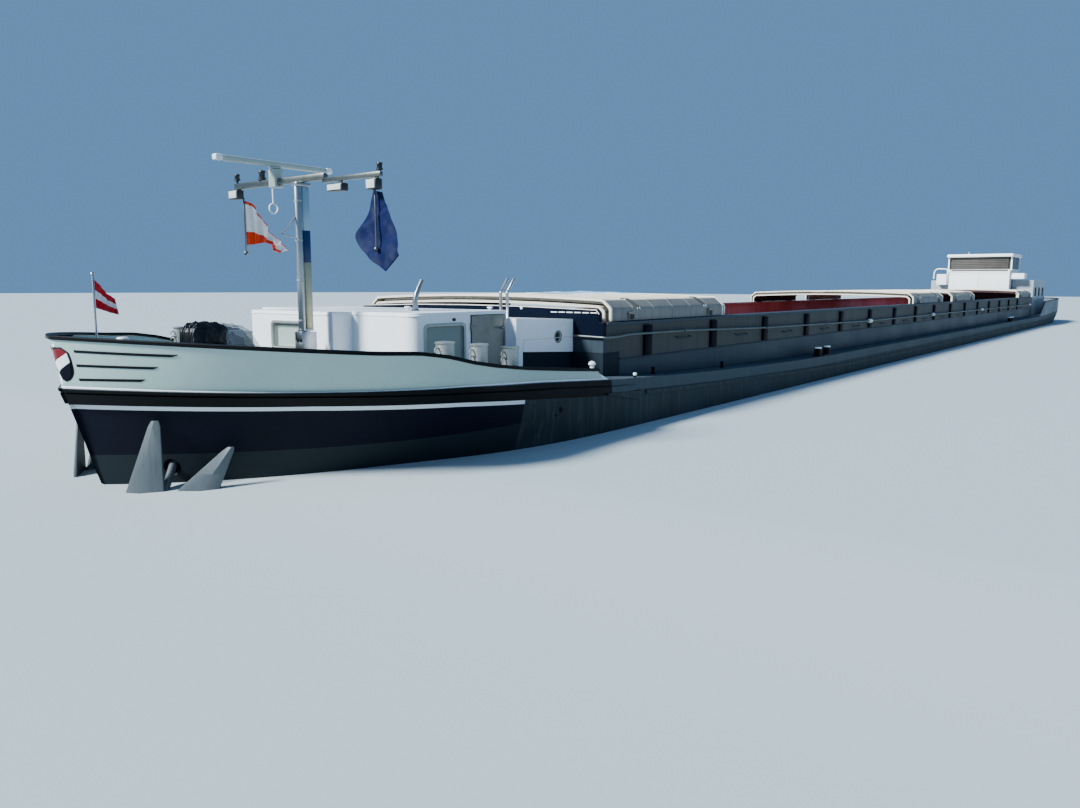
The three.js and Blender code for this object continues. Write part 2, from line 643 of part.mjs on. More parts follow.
// Stores locker: an upper box with a sloping roof over a recessed lower wall and a skirt in front
function addLocker() {
  const { front, aft, side, roofFront, roofAft, wall } = LOCKER;
  const { skirt, recess, ledgeFront, ledgeAft } = LOCKER_BASE;
  const upper = sidePrism([
    [aft, ledgeAft], [skirt, ledgeFront], [skirt, 2900], [front, 2900], [front, roofFront], [aft, roofAft],
  ], -side, side);
  const lower = box(aft + recess, skirt + 30, recess - side, side - recess, 2900, ledgeFront + 80);
  const shell = cut(join([upper, lower]), [
    box(aft + wall, front - wall, wall - side, side - wall, 2800, roofAft - wall),
    belowDeck(27500, 30500),
    ...bothSides((s) => [rod([28793, s * (side - 150), 3853], [28793, s * (side + 50), 3853], 100, 100, 16)]),
  ]);
  const stacks = [1970, 2130].map((y) => exhaust(29500, y, 31, roofAft - 30, 4690, 4940, 205));
  addPiece('fore_locker', join([shell, ...stacks]), FINISH.white);
}

// Mast with its foot, cross-arm, lights, radar and flags
function addMast() {
  const { x, y, pivotX, pivot, tube, top } = MAST;
  const cheekFrom = 61;
  const cheekTo = 85;
  const foot = cut(box(33046, 33330, y - cheekTo, y + cheekTo, 3300, pivot - 100), [belowDeck(32000, 34500)]);
  const cheeks = bothSides((side) =>
    [box(pivotX - 90, pivotX + 90, y + side * cheekFrom, y + side * cheekTo, pivot - 120, pivot + 76)]);
  addPiece('mast_foot', join([foot, ...cheeks]), FINISH.steel);
  const heelTop = pivot + 150;
  addPiece('mast', join([
    box(pivotX - 55, pivotX + 55, y - 51, y + 51, pivot - 60, heelTop),
    rod([pivotX, y - cheekFrom + GAP, pivot], [pivotX, y + cheekFrom - GAP, pivot], 34),
    box(33060, x + tube, y - 38, y + 38, heelTop - 25, heelTop + 15),
    rod([x, y, heelTop - 20], [x, y, top - 10], tube, tube, 16),
    box(33048, 33178, y - 20, y + 20, heelTop - 20, top - 10),
    box(33048, 33325, y - 68, y + 68, top - 60, top - GAP),
    sidePrism([[33300, 5920], [33395, 5531], [33596, 5646]], y - 10, y + 10),
  ]), FINISH.steel);
  const staffs = FLAG_STAFFS.map(([staffY, from, to]) => join([
    rod([ARM.x, staffY, from], [ARM.x, staffY, to], STAFF),
    ball([ARM.x, staffY, to], STAFF_BALL)]));
  const lamps = ARM_LAMPS.map(([lampY, seat, from, to, radius]) => join([
    rod([ARM.x, lampY, seat], [ARM.x, lampY, from + 5], 20, 20, 8),
    rod([ARM.x, lampY, from], [ARM.x, lampY, to], radius, radius, 10)]));
  const floodlights = FLOODLIGHTS.map(([from, to, bottom, lampTop, seat]) => join([
    box(ARM.x - 10, ARM.x + 140, from, to, bottom, lampTop),
    box(ARM.x - 20, ARM.x + 20, (from + to) / 2 - 30, (from + to) / 2 + 30, lampTop - 10, seat)]));
  addPiece('mast_arm', join([
    box(ARM.x - 45, ARM.x + 45, ARM.starboard, ARM.port, ARM.middle - ARM.half, ARM.middle + ARM.half),
    box(ARM.x - 32, ARM.x + 32, ARM_TIP.from, ARM_TIP.to,
      ARM_TIP.middle - ARM_TIP.half, ARM_TIP.middle + ARM_TIP.half),
    ...staffs, ...lamps, ...floodlights]), FINISH.steel);
}

const STAFF = 14;
const STAFF_BALL = 38;
const FLAG_STAFFS = [
  // y, top and bottom
  [-640, 6300, 5366], [2680, 6230, 5352],
];
const ARM_LAMPS = [
  // y, foot on the arm, bottom and top of the lantern, radius
  [-805, 6520, 6589, 6706, 50], [-90, 6520, 6545, 6715, 62], [2793, 6450, 6488, 6601, 48],
];
const FLOODLIGHTS = [
  // y from and to, bottom, top, height of the arm over it
  [-922, -568, 6260, 6436, 6450], [1709, 2102, 6227, 6358, 6410], [2626, 2837, 6208, 6366, 6410],
];

// Radar: an eight-sided gearbox that sits over the arm like a saddle, and the scanner on top
function addRadar() {
  const { x, y, height, length, half } = RADAR;
  const body = rod([x, y, 6405], [x, y, 6690], 118, 118, 8);
  const armSlot = box(ARM.x - 45 - GAP, ARM.x + 45 + GAP, y - 200, y + 200,
    ARM.middle - ARM.half - GAP, ARM.middle + ARM.half + GAP);
  const neckTop = height - half - 25;
  const neck = rod([x, y, 6680], [x, y, neckTop], 60);
  addPiece('radar_gearbox', join([cut(body, [armSlot]), neck]), FINISH.radar);
  addPiece('radar_scanner', join([
    box(x - length / 2, x + length / 2, y - 50, y + 70, height - half, height + half),
    rod([x, y, neckTop + GAP], [x, y, height - half + 10], 90),
  ]), FINISH.radar);
}

const JACKSTAFF = { x: 36117, radius: 15, top: 4970 };

// Flags hang beside their staffs; each is a thin closed sheet
function addFlags() {
  const face = ARM.x - STAFF - 0.6;
  addPiece('flag_starboard', sidePrism([
    [face, 6250], [face - 7, 5503], [32755, 5554], [32577, 5386], [32298, 5448], [32703, 5765], [33005, 6174],
  ], -665, -615), FINISH.flagOrange);
  addPiece('flag_port', sectionPrism([
    [2583, 6218], [2436, 5862], [2148, 5532], [2500, 5224], [2955, 5041], [3090, 5242], [3097, 5472],
    [2919, 5882], [2779, 6177],
  ], ARM.x - STAFF_BALL - GAP - 40, ARM.x - STAFF_BALL - GAP), FINISH.flagBlue);
  const { x, radius, top } = JACKSTAFF;
  const staff = join([
    rod([x, 0, 3380], [x, 0, top], radius),
    ball([x, 0, top], 30, 10),
    rod([x, 0, 3300], [x, 0, 3450], 55),
  ]);
  addPiece('jackstaff', cut(staff, [belowDeck(35500, 36700)]), FINISH.steel);
  addPiece('jack_flag', sidePrism([
    [x - radius - 0.6, 4900], [x - radius - 0.6, 4480], [x - 330, 4390], [x - 300, 4620], [x - 180, 4700],
  ], -20, 20), FINISH.flagRed);
}

// Anchor winch with its control stand, and the tarpaulin over the winch
function addWinch() {
  const frame = join([
    box(33800, 34880, -430, 430, 3300, 3480),
    rod([34200, -400, 3780], [34200, 400, 3780], 190, 190, 14),
    ...bothSides((side) => [box(34000, 34400, side * 320, side * 400, 3400, 4110)]),
    box(34700, 34880, 130, 430, 3400, 4162),
  ]);
  addPiece('anchor_winch', cut(frame, [belowDeck(33000, 35500)]), FINISH.grey);
  const cover = sidePrism([
    [33600, 3560], [33780, 3900], [33880, 4150], [34150, 4220], [34480, 4210], [34640, 4120], [34680, 3700],
  ], -450, 450);
  const hollow = sidePrism([
    [33640, 3480], [33840, 3880], [33930, 4090], [34160, 4160], [34470, 4150], [34590, 4080], [34630, 3600],
  ], -410, 410);
  addPiece('winch_cover', cut(cover, [hollow]), FINISH.tarp);
}

// Anchors hang in their hawse holes with the crown below the water and the flukes up the side
const ANCHOR = { x: 35740, y: 1340, crown: 1830, along: [0.63, -0.776], out: [0.776, 0.63] };
const SHANK = { along: 230, radius: 55, mouth: 125 };
const FLUKES = [
  // where along the side, at the crown and at the tip: [foot from, foot to, tip from, tip to, tip height]
  [214, 787, 220, 360, 2950],
  [177, -491, -680, -800, 2580],
];

function anchorPoint(side, along, out, z) {
  const x = ANCHOR.x + ANCHOR.along[0] * along + ANCHOR.out[0] * out;
  const y = ANCHOR.y + ANCHOR.along[1] * along + ANCHOR.out[1] * out;
  return [x, side * y, z];
}

// A rod on the line of the shank, from one share of its length to another
function onShank(side, from, to, radius) {
  const at = (share) => anchorPoint(side, SHANK.along, 20 - 640 * share, ANCHOR.crown + 60 + 590 * share);
  return rod(at(from), at(to), radius, radius, 14);
}

// The hawse hole: a wide mouth that narrows to a bore in which the shank is held
function hawsePocket(side) {
  return join([onShank(side, 0, 0.72, SHANK.mouth), onShank(side, 0, 1.05, SHANK.radius + GAP)]);
}

function addAnchors() {
  for (const [name, side] of [['anchor_port', 1], ['anchor_starboard', -1]]) {
    const flukes = FLUKES.map(([from, to, tipFrom, tipTo, tip]) => {
      const ring = (z, a, b, thick) => [
        anchorPoint(side, a, 0, z), anchorPoint(side, b, 0, z),
        anchorPoint(side, b, thick, z), anchorPoint(side, a, thick, z)];
      return loft([ring(ANCHOR.crown, from, to, 110), ring(tip, tipFrom, tipTo, 35)]);
    });
    const [crownAft, crownFore] = [-640, 720].map((along) => anchorPoint(side, along, 60, ANCHOR.crown));
    const crown = rod(crownAft, crownFore, 105);
    addPiece(name, join([crown, onShank(side, 0, 1, SHANK.radius), ...flukes]), FINISH.anchor);
  }
}

// Wheelhouse, deckhouse and the crane on the aft deck
function addWheelhouse() {
  const { front, aft, side, band, floor, sill, head, wall } = WHEELHOUSE;
  const inside = [aft + wall, front - wall, wall - side, side - wall];
  const walls = join([
    box(aft, front, -side, side, 2700, sill),
    box(aft, front + 10, -band - 10, band + 10, sill - 60, sill),
  ]);
  const rooms = cut(walls, [
    box(...inside, 2600, floor),
    box(...inside, floor + 60, sill + 10),
    belowDeck(-29000, -24500),
  ]);
  const posts = bothSides((s) => [front - 90, aft].map(
    (x) => box(x, x + 90, s * (band - 90), s * band, sill - 10, head)));
  const aftWall = box(aft, aft + 60, 90 - band, band - 90, sill - 10, head);
  const doorway = box(aft - 20, aft + wall + 20, DOORWAY.starboard, DOORWAY.port,
    DOORWAY.bottom, DOORWAY.top);
  addPiece('wheelhouse', cut(join([rooms, ...posts, aftWall]), [doorway]), FINISH.white);
  const glassOuter = 92;
  const glassInner = 108;
  const pane = box(aft + 62, front - glassOuter, glassOuter - band, band - glassOuter,
    sill + GAP, head - GAP);
  const ring = cut(pane, [
    box(aft - 50, front - glassInner, glassInner - band, band - glassInner, sill, head),
  ]);
  addPiece('wheelhouse_glass', ring, FINISH.glass);
  const roof = WHEELHOUSE_ROOF;
  const slab = box(roof.aft, roof.front, -roof.side, roof.side, head + GAP, roof.top);
  addPiece('wheelhouse_roof', slab, FINISH.white);
  const leaf = box(aft - 20, aft + 25, DOORWAY.starboard + 12, DOORWAY.port - 12,
    DOORWAY.bottom + 12, DOORWAY.top - 12);
  const hinges = [0.2, 0.8].map((share) => barrel(aft - HINGE - GAP, DOORWAY.port,
    DOORWAY.bottom + (DOORWAY.top - DOORWAY.bottom) * share));
  addPiece('wheelhouse_door', join([leaf, ...hinges]), FINISH.white);
  addPiece('wing_locker_port', box(-26400, -25200, side + GAP, 2800, 5330, 5720), FINISH.white);
  addPiece('wing_locker_starboard',
    box(DECKHOUSE.front + GAP, -25100, -2120, -2780, 4930, 5690), FINISH.white);
}

const DOORWAY = { starboard: 650, port: 1450, bottom: 5330, top: 6780 };

function deckhousePlan(inset) {
  const { front, aft, side } = DECKHOUSE;
  const notchSide = WHEELHOUSE.side + 60 + inset;
  const notchAft = WHEELHOUSE.aft - 60 - inset;
  const port = [
    [aft + inset, side - inset], [front - inset, side - inset],
    [front - inset, notchSide], [notchAft, notchSide],
  ];
  return [...port, ...port.map(([x, y]) => [x, -y]).reverse()];
}

function addDeckhouse() {
  const { aft, side, roof, wall } = DECKHOUSE;
  const windows = bothSides((s) => [-27100, -28750, -30400].map((x) =>
    box(x - 400, x + 400, s * (side - 150), s * (side + 50), 4150, 4750)));
  const aftDoor = box(aft - 50, aft + 150, AFT_DOOR.starboard, AFT_DOOR.port, AFT_DOOR.bottom, AFT_DOOR.top);
  const shell = cut(planPrism(deckhousePlan(0), 2700, roof), [
    planPrism(deckhousePlan(wall), 2600, roof - wall), belowDeck(-34500, -25000), aftDoor, ...windows]);
  const postTop = [CRANE.x, CRANE.y, CRANE.pivot - GAP];
  const cranePost = rod([CRANE.x, CRANE.y, roof - 20], postTop, CRANE.radius + 20);
  addPiece('deckhouse', join([shell, cranePost]), FINISH.grey);
  const leaf = box(aft - 20, aft + 25, AFT_DOOR.starboard + 12, AFT_DOOR.port - 12,
    AFT_DOOR.bottom + 12, AFT_DOOR.top - 12);
  const hinges = [0.2, 0.8].map((share) => barrel(aft - HINGE - GAP, AFT_DOOR.starboard,
    AFT_DOOR.bottom + (AFT_DOOR.top - AFT_DOOR.bottom) * share));
  addPiece('deckhouse_door', join([leaf, ...hinges]), FINISH.grey);
  const jib = CRANE_JIB.map(([out, z]) => [CRANE.x, CRANE.y - out, z]);
  addPiece('crane', join([
    rod([CRANE.x, CRANE.y, CRANE.pivot], jib[0], CRANE.radius, CRANE.radius, 14),
    pipe(jib, 45, 10),
  ]), FINISH.white);
}

const AFT_DOOR = { starboard: -400, port: 400, bottom: 3250, top: 4950 };
const CRANE = { x: -26300, y: -2300, pivot: 5500, radius: 70 };
const CRANE_JIB = [
  // distance outboard of the post, height
  [0, 5990], [180, 6080], [700, 6100], [860, 6010], [930, 5860], [950, 5370],
];

// Propeller and rudders
function addPropulsion() {
  const { radius, height, front, aft, blades } = PROPELLER;
  const middle = (NOZZLE.front + NOZZLE.aft) / 2;
  const bladeRings = [
    [100, 0.95, 260, 60], [380, 0.6, 330, 40], [600, 0.42, 280, 24], [radius, 0.36, 120, 14],
  ];
  const fan = Array.from({ length: blades }, (_, i) => {
    const turn = (i * 2 * Math.PI) / blades;
    const rings = bladeRings.map(([r, pitch, chord, thick]) => {
      const [c, t] = [chord / 2, thick / 2];
      const corners = [[-c, -t], [c, -t], [c, t], [-c, t]];
      return corners.map(([along, across]) => {
        const u = along * Math.cos(pitch) - across * Math.sin(pitch);
        const x = along * Math.sin(pitch) + across * Math.cos(pitch);
        return [
          middle + x,
          r * Math.cos(turn) - u * Math.sin(turn),
          height + r * Math.sin(turn) + u * Math.cos(turn),
        ];
      });
    });
    return loft(rings);
  });
  const hub = rod([front, 0, height], [aft, 0, height], 160, 120, 16);
  addPiece('propeller', join([hub, ...fan]), FINISH.bronze);
  for (const [name, side] of [['rudder_port', 1], ['rudder_starboard', -1]]) {
    const y = side * RUDDER.y;
    const plan = [
      [RUDDER.front, y], [RUDDER.stock, y + 55], [RUDDER.aft, y + 12],
      [RUDDER.aft, y - 12], [RUDDER.stock, y - 55],
    ];
    addPiece(name, join([
      planPrism(plan, RUDDER.bottom, RUDDER.top),
      rod([RUDDER.stock, y, RUDDER.top - 20], [RUDDER.stock, y, 1640 - GAP], 45),
    ]), FINISH.hull);
  }
}

addHull();
addBowBulwark();
addSternBulwark();
addCoamings();
addHatches();
addForeCabin();
addLocker();
addMast();
addRadar();
addFlags();
addWinch();
addAnchors();
addWheelhouse();
addDeckhouse();
addPropulsion();

const part = new THREE.Group();
ship.scale.setScalar(MODEL_SCALE);
part.add(ship);
export default part;
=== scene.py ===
"""Looks of an inland motor barge with telescoping hatch covers, as a half-size model.

Sizes in this file are those of the full-size ship in millimetres, in the ship's own frame: X = 0
amidships and + to the bow, Y = 0 on the centreline and + to port, Z = 0 at the keel.
"""

import json
import logging
import math
from dataclasses import dataclass
from enum import Enum
from typing import Callable, Sequence

import bmesh
import bpy
import numpy as np
from mathutils import Matrix, Vector

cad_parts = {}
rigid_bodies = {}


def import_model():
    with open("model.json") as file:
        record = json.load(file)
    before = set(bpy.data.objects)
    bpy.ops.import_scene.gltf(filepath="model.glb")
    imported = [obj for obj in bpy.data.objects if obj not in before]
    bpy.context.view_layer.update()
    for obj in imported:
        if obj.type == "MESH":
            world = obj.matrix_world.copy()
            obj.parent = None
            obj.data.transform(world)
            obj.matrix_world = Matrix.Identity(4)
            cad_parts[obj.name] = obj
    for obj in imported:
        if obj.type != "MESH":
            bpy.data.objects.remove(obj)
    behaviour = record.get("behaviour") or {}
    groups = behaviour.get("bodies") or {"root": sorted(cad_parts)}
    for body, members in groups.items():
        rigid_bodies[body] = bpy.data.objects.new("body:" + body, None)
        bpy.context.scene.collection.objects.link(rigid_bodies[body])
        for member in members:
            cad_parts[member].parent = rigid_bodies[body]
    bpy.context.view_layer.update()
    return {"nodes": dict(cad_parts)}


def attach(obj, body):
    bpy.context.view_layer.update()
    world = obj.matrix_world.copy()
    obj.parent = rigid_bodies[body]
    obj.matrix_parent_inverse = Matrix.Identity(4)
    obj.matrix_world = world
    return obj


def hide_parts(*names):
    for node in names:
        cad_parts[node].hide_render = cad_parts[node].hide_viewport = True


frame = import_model()
log = logging.getLogger("barge")

SHIP = 0.0005                       # metres of the half-size model for each millimetre of the ship
SHIP_BODY = "ship"
WATERLINE = 2150.0
AHEAD, PORT, UP = (1.0, 0.0, 0.0), (0.0, 1.0, 0.0), (0.0, 0.0, 1.0)
SEAT = 1.6                          # gap between a bulwark and the deck that it stands on
MIRROR = np.array([1.0, -1.0, 1.0])   # takes a point to the other side of the centreline
RGBA = {"output": 2, "data_type": "RGBA"}   # output and setting of a Mix node that mixes colours
Array = np.ndarray
Floats = Sequence[float]
Object = bpy.types.Object
Material = bpy.types.Material
Socket = bpy.types.NodeSocket


# Geometry in numpy

class Plane(Enum):
    """The plane in which an outline is drawn before it is carried along the third axis."""
    PLAN = (0, 1, 2)
    SIDE = (0, 2, 1)
    SECTION = (1, 2, 0)


@dataclass
class Form:
    """Points of a shape in the ship's millimetres, with its faces as arrays of equal corner counts."""
    points: Array
    faces: list[Array]

    def mirrored(self) -> "Form":
        """The same shape on the other side of the centreline."""
        return Form(self.points * MIRROR, [f[:, ::-1] for f in self.faces])

    def moved(self, x: float = 0.0, y: float = 0.0, z: float = 0.0) -> "Form":
        """The same shape moved by x, y and z."""
        return Form(self.points + np.array([x, y, z]), self.faces)


def joined(forms: Sequence[Form]) -> Form:
    """Puts several shapes into one.

    Args:
        forms: shapes to put together; each keeps its own closed skin.

    Returns:
        One shape with all the points and faces.
    """
    starts = np.cumsum([0] + [len(f.points) for f in forms])
    faces = [face + start for form, start in zip(forms, starts) for face in form.faces]
    return Form(np.concatenate([f.points for f in forms]), faces)


def both_sides(*forms: Form) -> Form:
    """The shapes and their mirror images over the centreline, as one."""
    return joined([*forms, *(form.mirrored() for form in forms)])


def grid(points: Array, round_rows: bool = False, round_columns: bool = False,
         capped: bool = False) -> Form:
    """Skins a grid of points with quads: cell (r, c) joins rows r and r + 1, columns c and c + 1.

    Args:
        points: array of rows, columns and x y z.
        round_rows: whether the last row joins the first.
        round_columns: whether the last column joins the first.
        capped: whether the first and last rows are closed with one face each.

    Returns:
        The skinned grid.
    """
    rows, columns = points.shape[:2]
    index = np.arange(rows * columns).reshape(rows, columns)
    if round_rows:
        index = np.concatenate([index, index[:1]])
    if round_columns:
        index = np.concatenate([index, index[:, :1]], axis=1)
    quads = np.stack([index[:-1, :-1], index[:-1, 1:], index[1:, 1:], index[1:, :-1]], axis=-1)
    faces = [quads.reshape(-1, 4)]
    if capped:
        faces += [index[:1, :columns][:, ::-1], index[-1:, :columns]]
    return Form(points.reshape(-1, 3).astype(float), faces)


def loft(rings: Array) -> Form:
    """Skins rows of points, each a closed ring, and closes the first and last with a face."""
    return grid(rings, round_columns=True, capped=True)


def turned(profile: Sequence[tuple[float, float]], start: Floats, axis: Floats,
           sides: int = 32, closed: bool = False) -> Form:
    """Turns a profile about an axis: point = start + axis * along + radius * (u cos a + v sin a).

    Args:
        profile: rows of radius and distance along the axis.
        start: where the axis starts.
        axis: its direction.
        sides: points around.
        closed: whether the profile's last point joins its first, as in a ring.

    Returns:
        The turned shape; a profile that starts or ends on the axis closes in a pole there.
    """
    way = np.array(axis, float) / np.linalg.norm(axis)
    helper = np.array([0.0, 0.0, 1.0]) if abs(way[2]) < 0.9 else np.array([1.0, 0.0, 0.0])
    u = np.cross(way, helper)
    u /= np.linalg.norm(u)
    v = np.cross(way, u)
    angle = np.linspace(0.0, 2 * np.pi, sides, endpoint=False)
    radius, along = np.array(profile, float).T
    around = np.cos(angle)[:, None] * u + np.sin(angle)[:, None] * v
    points = np.array(start, float) + along[:, None, None] * way + radius[:, None, None] * around
    return grid(points, round_rows=closed, round_columns=True)


def drum(start: Floats, axis: Floats, length: float, radius: float,
         edge: float = 6.0, sides: int = 32) -> Form:
    """A closed round bar with rounded edges, turned from a profile of three-point corners.

    Args:
        start: middle of its first end.
        axis: its direction.
        length: its length.
        radius: its radius.
        edge: rounding of its edges.
        sides: points around.

    Returns:
        The bar.
    """
    bend = edge * (1 - math.sqrt(0.5))
    profile = [(0, 0), (radius - edge, 0), (radius - bend, bend), (radius, edge),
               (radius, length - edge), (radius - bend, length - bend), (radius - edge, length), (0, length)]
    return turned(profile, start, axis, sides)


def rounded_rectangle(width: float, height: float, corner: float, steps: int = 4) -> Array:
    """Outline of a rectangle whose corners are quarter circles of `steps` points.

    Args:
        width: full width.
        height: full height.
        corner: corner radius.
        steps: points in each corner.

    Returns:
        Points of u and v about the middle, counter-clockwise.
    """
    quarter = np.linspace(0.0, np.pi / 2, steps)
    turns = np.concatenate([quarter + k * np.pi / 2 for k in range(4)])
    signs = np.repeat([[1, 1], [-1, 1], [-1, -1], [1, -1]], steps, axis=0)
    middle = signs * np.array([width / 2 - corner, height / 2 - corner])
    return middle + corner * np.stack([np.cos(turns), np.sin(turns)], axis=1)


def smooth_path(points: Sequence[Floats], count: int) -> Array:
    """A Catmull-Rom curve: a cubic between each two points, along the line of their neighbours.

    Args:
        points: points that it goes through.
        count: points read at even steps of its parameter.

    Returns:
        Points of the curve.
    """
    knots = np.array(points, float)
    padded = np.concatenate([2 * knots[:1] - knots[1:2], knots, 2 * knots[-1:] - knots[-2:-1]])
    at = np.linspace(0.0, len(knots) - 1 - 1e-9, count)
    i = at.astype(int)
    t = (at - i)[:, None]
    a, b, c, d = (padded[i + k] for k in range(4))
    square, cube = 2 * a - 5 * b + 4 * c - d, 3 * b - a - 3 * c + d
    return 0.5 * (2 * b + (c - a) * t + square * t ** 2 + cube * t ** 3)


def swept(section: Array, path: Array, up: Floats = UP,
          size: Array | None = None) -> Form:
    """Carries a closed section along a path: point = path + u * side + v * top, with side and top
    square to the path's direction.

    Args:
        section: points of u and v.
        path: points that the section's middle follows.
        up: the direction that v leans to; it isn't along the path.
        size: scale of the section at each point of the path.

    Returns:
        The closed bar.
    """
    way = np.gradient(path, axis=0)
    way /= np.linalg.norm(way, axis=1, keepdims=True)
    side = np.cross(way, np.array(up, float))
    side /= np.linalg.norm(side, axis=1, keepdims=True)
    top = np.cross(side, way)
    scale = np.ones(len(path)) if size is None else size
    points = path[:, None] + scale[:, None, None] * (
        section[None, :, 0, None] * side[:, None] + section[None, :, 1, None] * top[:, None])
    return loft(points)


def circle(radius: float, sides: int = 14) -> Array:
    """Points of u and v round a circle."""
    angle = np.linspace(0.0, 2 * np.pi, sides, endpoint=False)
    return radius * np.stack([np.cos(angle), np.sin(angle)], axis=1)


def tube(points: Sequence[Floats], radius: float, up: Floats = UP,
         sides: int = 14) -> Form:
    """A round bar along straight runs, with a point close to each side of every bend so that it
    turns in a short curve.

    Args:
        points: ends and bends of the runs.
        radius: radius of the bar.
        up: a direction that no run follows.
        sides: points around.

    Returns:
        The closed bar.
    """
    knots = np.array(points, float)
    runs = np.diff(knots, axis=0)
    share = np.minimum(0.45, 1.2 * radius / np.linalg.norm(runs, axis=1, keepdims=True))
    near = np.stack([knots[:-1] + runs * share, knots[1:] - runs * share], axis=1).reshape(-1, 3)
    path = np.concatenate([knots[:1], near, knots[-1:]])
    return swept(circle(radius, sides), path, up)


def block(low: Floats, high: Floats, edge: float = 8.0, steps: int = 3) -> Form:
    """A box with rounded edges: point = corner of the smaller inner box + edge * direction, with
    the direction running over a ball.

    Args:
        low: lowest corner.
        high: highest corner.
        edge: radius of the edges.
        steps: points in each quarter turn.

    Returns:
        The closed box.
    """
    lowest, highest = np.minimum(low, high).astype(float), np.maximum(low, high).astype(float)
    middle, half = (lowest + highest) / 2, (highest - lowest) / 2
    edge = min(edge, 0.49 * float(half.min() * 2))
    quarter = np.linspace(0.0, np.pi / 2, steps)
    around = np.concatenate([quarter + k * np.pi / 2 for k in range(4)])
    around_sign = np.repeat([[1, 1], [-1, 1], [-1, -1], [1, -1]], steps, axis=0)
    rising = np.concatenate([quarter - np.pi / 2, quarter])
    rising_sign = np.repeat([-1.0, 1.0], steps)
    ball = np.stack(np.broadcast_arrays(
        np.cos(rising)[:, None] * np.cos(around), np.cos(rising)[:, None] * np.sin(around),
        np.sin(rising)[:, None]), axis=-1)
    sign = np.stack(np.broadcast_arrays(around_sign[None, :, 0], around_sign[None, :, 1],
                                        rising_sign[:, None]), axis=-1)
    return loft(middle + sign * (half - edge) + edge * ball)


def prism(outline: Sequence[Floats], start: float, end: float, plane: Plane) -> Form:
    """Carries a flat outline along the axis square to its plane.

    Args:
        outline: its corners.
        start: where it starts on that axis.
        end: where it ends.
        plane: plane of the outline.

    Returns:
        The closed prism.
    """
    flat = np.array(outline, float)
    points = np.empty((2, len(flat), 3))
    first, second, along = plane.value
    points[:, :, first], points[:, :, second] = flat[:, 0], flat[:, 1]
    points[:, :, along] = np.array([start, end])[:, None]
    return loft(points)


def rounded_corners(outline: Sequence[Floats], radius: Floats, steps: int = 5) -> Array:
    """Rounds every corner of a closed outline with a quadratic curve that starts and ends its
    radius from the corner, or at most 0.45 of a side: p = (1-t)^2 a + 2t(1-t) corner + t^2 b.

    Args:
        outline: corners of the outline.
        radius: radius of each corner.
        steps: points in each corner.

    Returns:
        Points of the rounded outline.
    """
    corner = np.array(outline, float)
    before, after = np.roll(corner, 1, axis=0) - corner, np.roll(corner, -1, axis=0) - corner
    reach = [np.minimum(radius, 0.45 * np.linalg.norm(w, axis=1))[:, None] for w in (before, after)]
    a = corner + before / np.linalg.norm(before, axis=1, keepdims=True) * reach[0]
    b = corner + after / np.linalg.norm(after, axis=1, keepdims=True) * reach[1]
    t = np.linspace(0.0, 1.0, steps)[None, :, None]
    curve = (1 - t) ** 2 * a[:, None] + 2 * t * (1 - t) * corner[:, None] + t ** 2 * b[:, None]
    return curve.reshape(-1, corner.shape[1])


# Materials

def linear(colour: str) -> tuple[float, float, float, float]:
    """Turns an sRGB colour to a linear one.

    Args:
        colour: hex value such as "#A9BCC4".

    Returns:
        Red, green, blue and alpha.
    """
    srgb = [int(colour[i:i + 2], 16) / 255 for i in (1, 3, 5)]
    red, green, blue = (c / 12.92 if c <= 0.04045 else ((c + 0.055) / 1.055) ** 2.4 for c in srgb)
    return (red, green, blue, 1.0)


def per_mm(size: float) -> float:
    """Scale of a pattern on Object coordinates whose parts are `size` millimetres on the ship."""
    return 1.0 / (size * SHIP)


class Graph:
    """The node tree of one material."""

    def __init__(self, name: str) -> None:
        """Starts an empty material with its output and the Object coordinates.

        Args:
            name: the material's name.
        """
        self.material = bpy.data.materials.new(name)
        self.material.use_nodes = True
        self.tree = self.material.node_tree
        self.tree.nodes.clear()
        self.output = self.tree.nodes.new("ShaderNodeOutputMaterial")
        self.objects = self.add("TexCoord", {}, output="Object")

    def add(self, kind: str, inputs: dict, output: int | str = 0, **settings) -> Socket:
        """Adds a node with its settings and links.

        Args:
            kind: the node's type without its ShaderNode prefix.
            inputs: socket name or number to a value, or to the socket that feeds it.
            output: the output socket wanted.
            **settings: the node's own properties.

        Returns:
            The output socket.
        """
        node = self.tree.nodes.new("ShaderNode" + kind)
        for key, value in settings.items():
            setattr(node, key, value)
        for key, value in inputs.items():
            if isinstance(value, Socket):
                self.tree.links.new(value, node.inputs[key])
            else:
                node.inputs[key].default_value = value
        return node.outputs[output]

    def mottled(self, size: float, reach: tuple[float, float, float], first: Socket | str, second: str,
                detail: float = 6.0, roughness: float = 0.5,
                at: Socket | None = None) -> tuple[Socket, Socket]:
        """Mixes two colours by a noise pattern.

        Args:
            size: size of the pattern in the ship's millimetres.
            reach: value of the noise where the second colour starts, where it is fullest, and its
                share there.
            first: hex value or socket of the first colour.
            second: hex value of the second colour.
            detail: octaves of the noise.
            roughness: weight of the finer octaves.
            at: coordinates, if not the Object coordinates.

        Returns:
            The noise and the colour.
        """
        noise = self.add("TexNoise", {"Vector": at or self.objects, "Scale": per_mm(size),
                                      "Detail": detail, "Roughness": roughness})
        share = self.add("MapRange", {"Value": noise, "From Min": reach[0], "From Max": reach[1],
                                      "To Max": reach[2]})
        base = linear(first) if isinstance(first, str) else first
        return noise, self.add("Mix", {0: share, 6: base, 7: linear(second)}, **RGBA)

    def finish(self, **inputs) -> Material:
        """Adds the Principled shader and ends the tree.

        Args:
            **inputs: the shader's inputs, named with _ for a space.

        Returns:
            The material.
        """
        shader = self.add("BsdfPrincipled", {key.replace("_", " "): value for key, value in inputs.items()})
        self.tree.links.new(shader, self.output.inputs["Surface"])
        return self.material


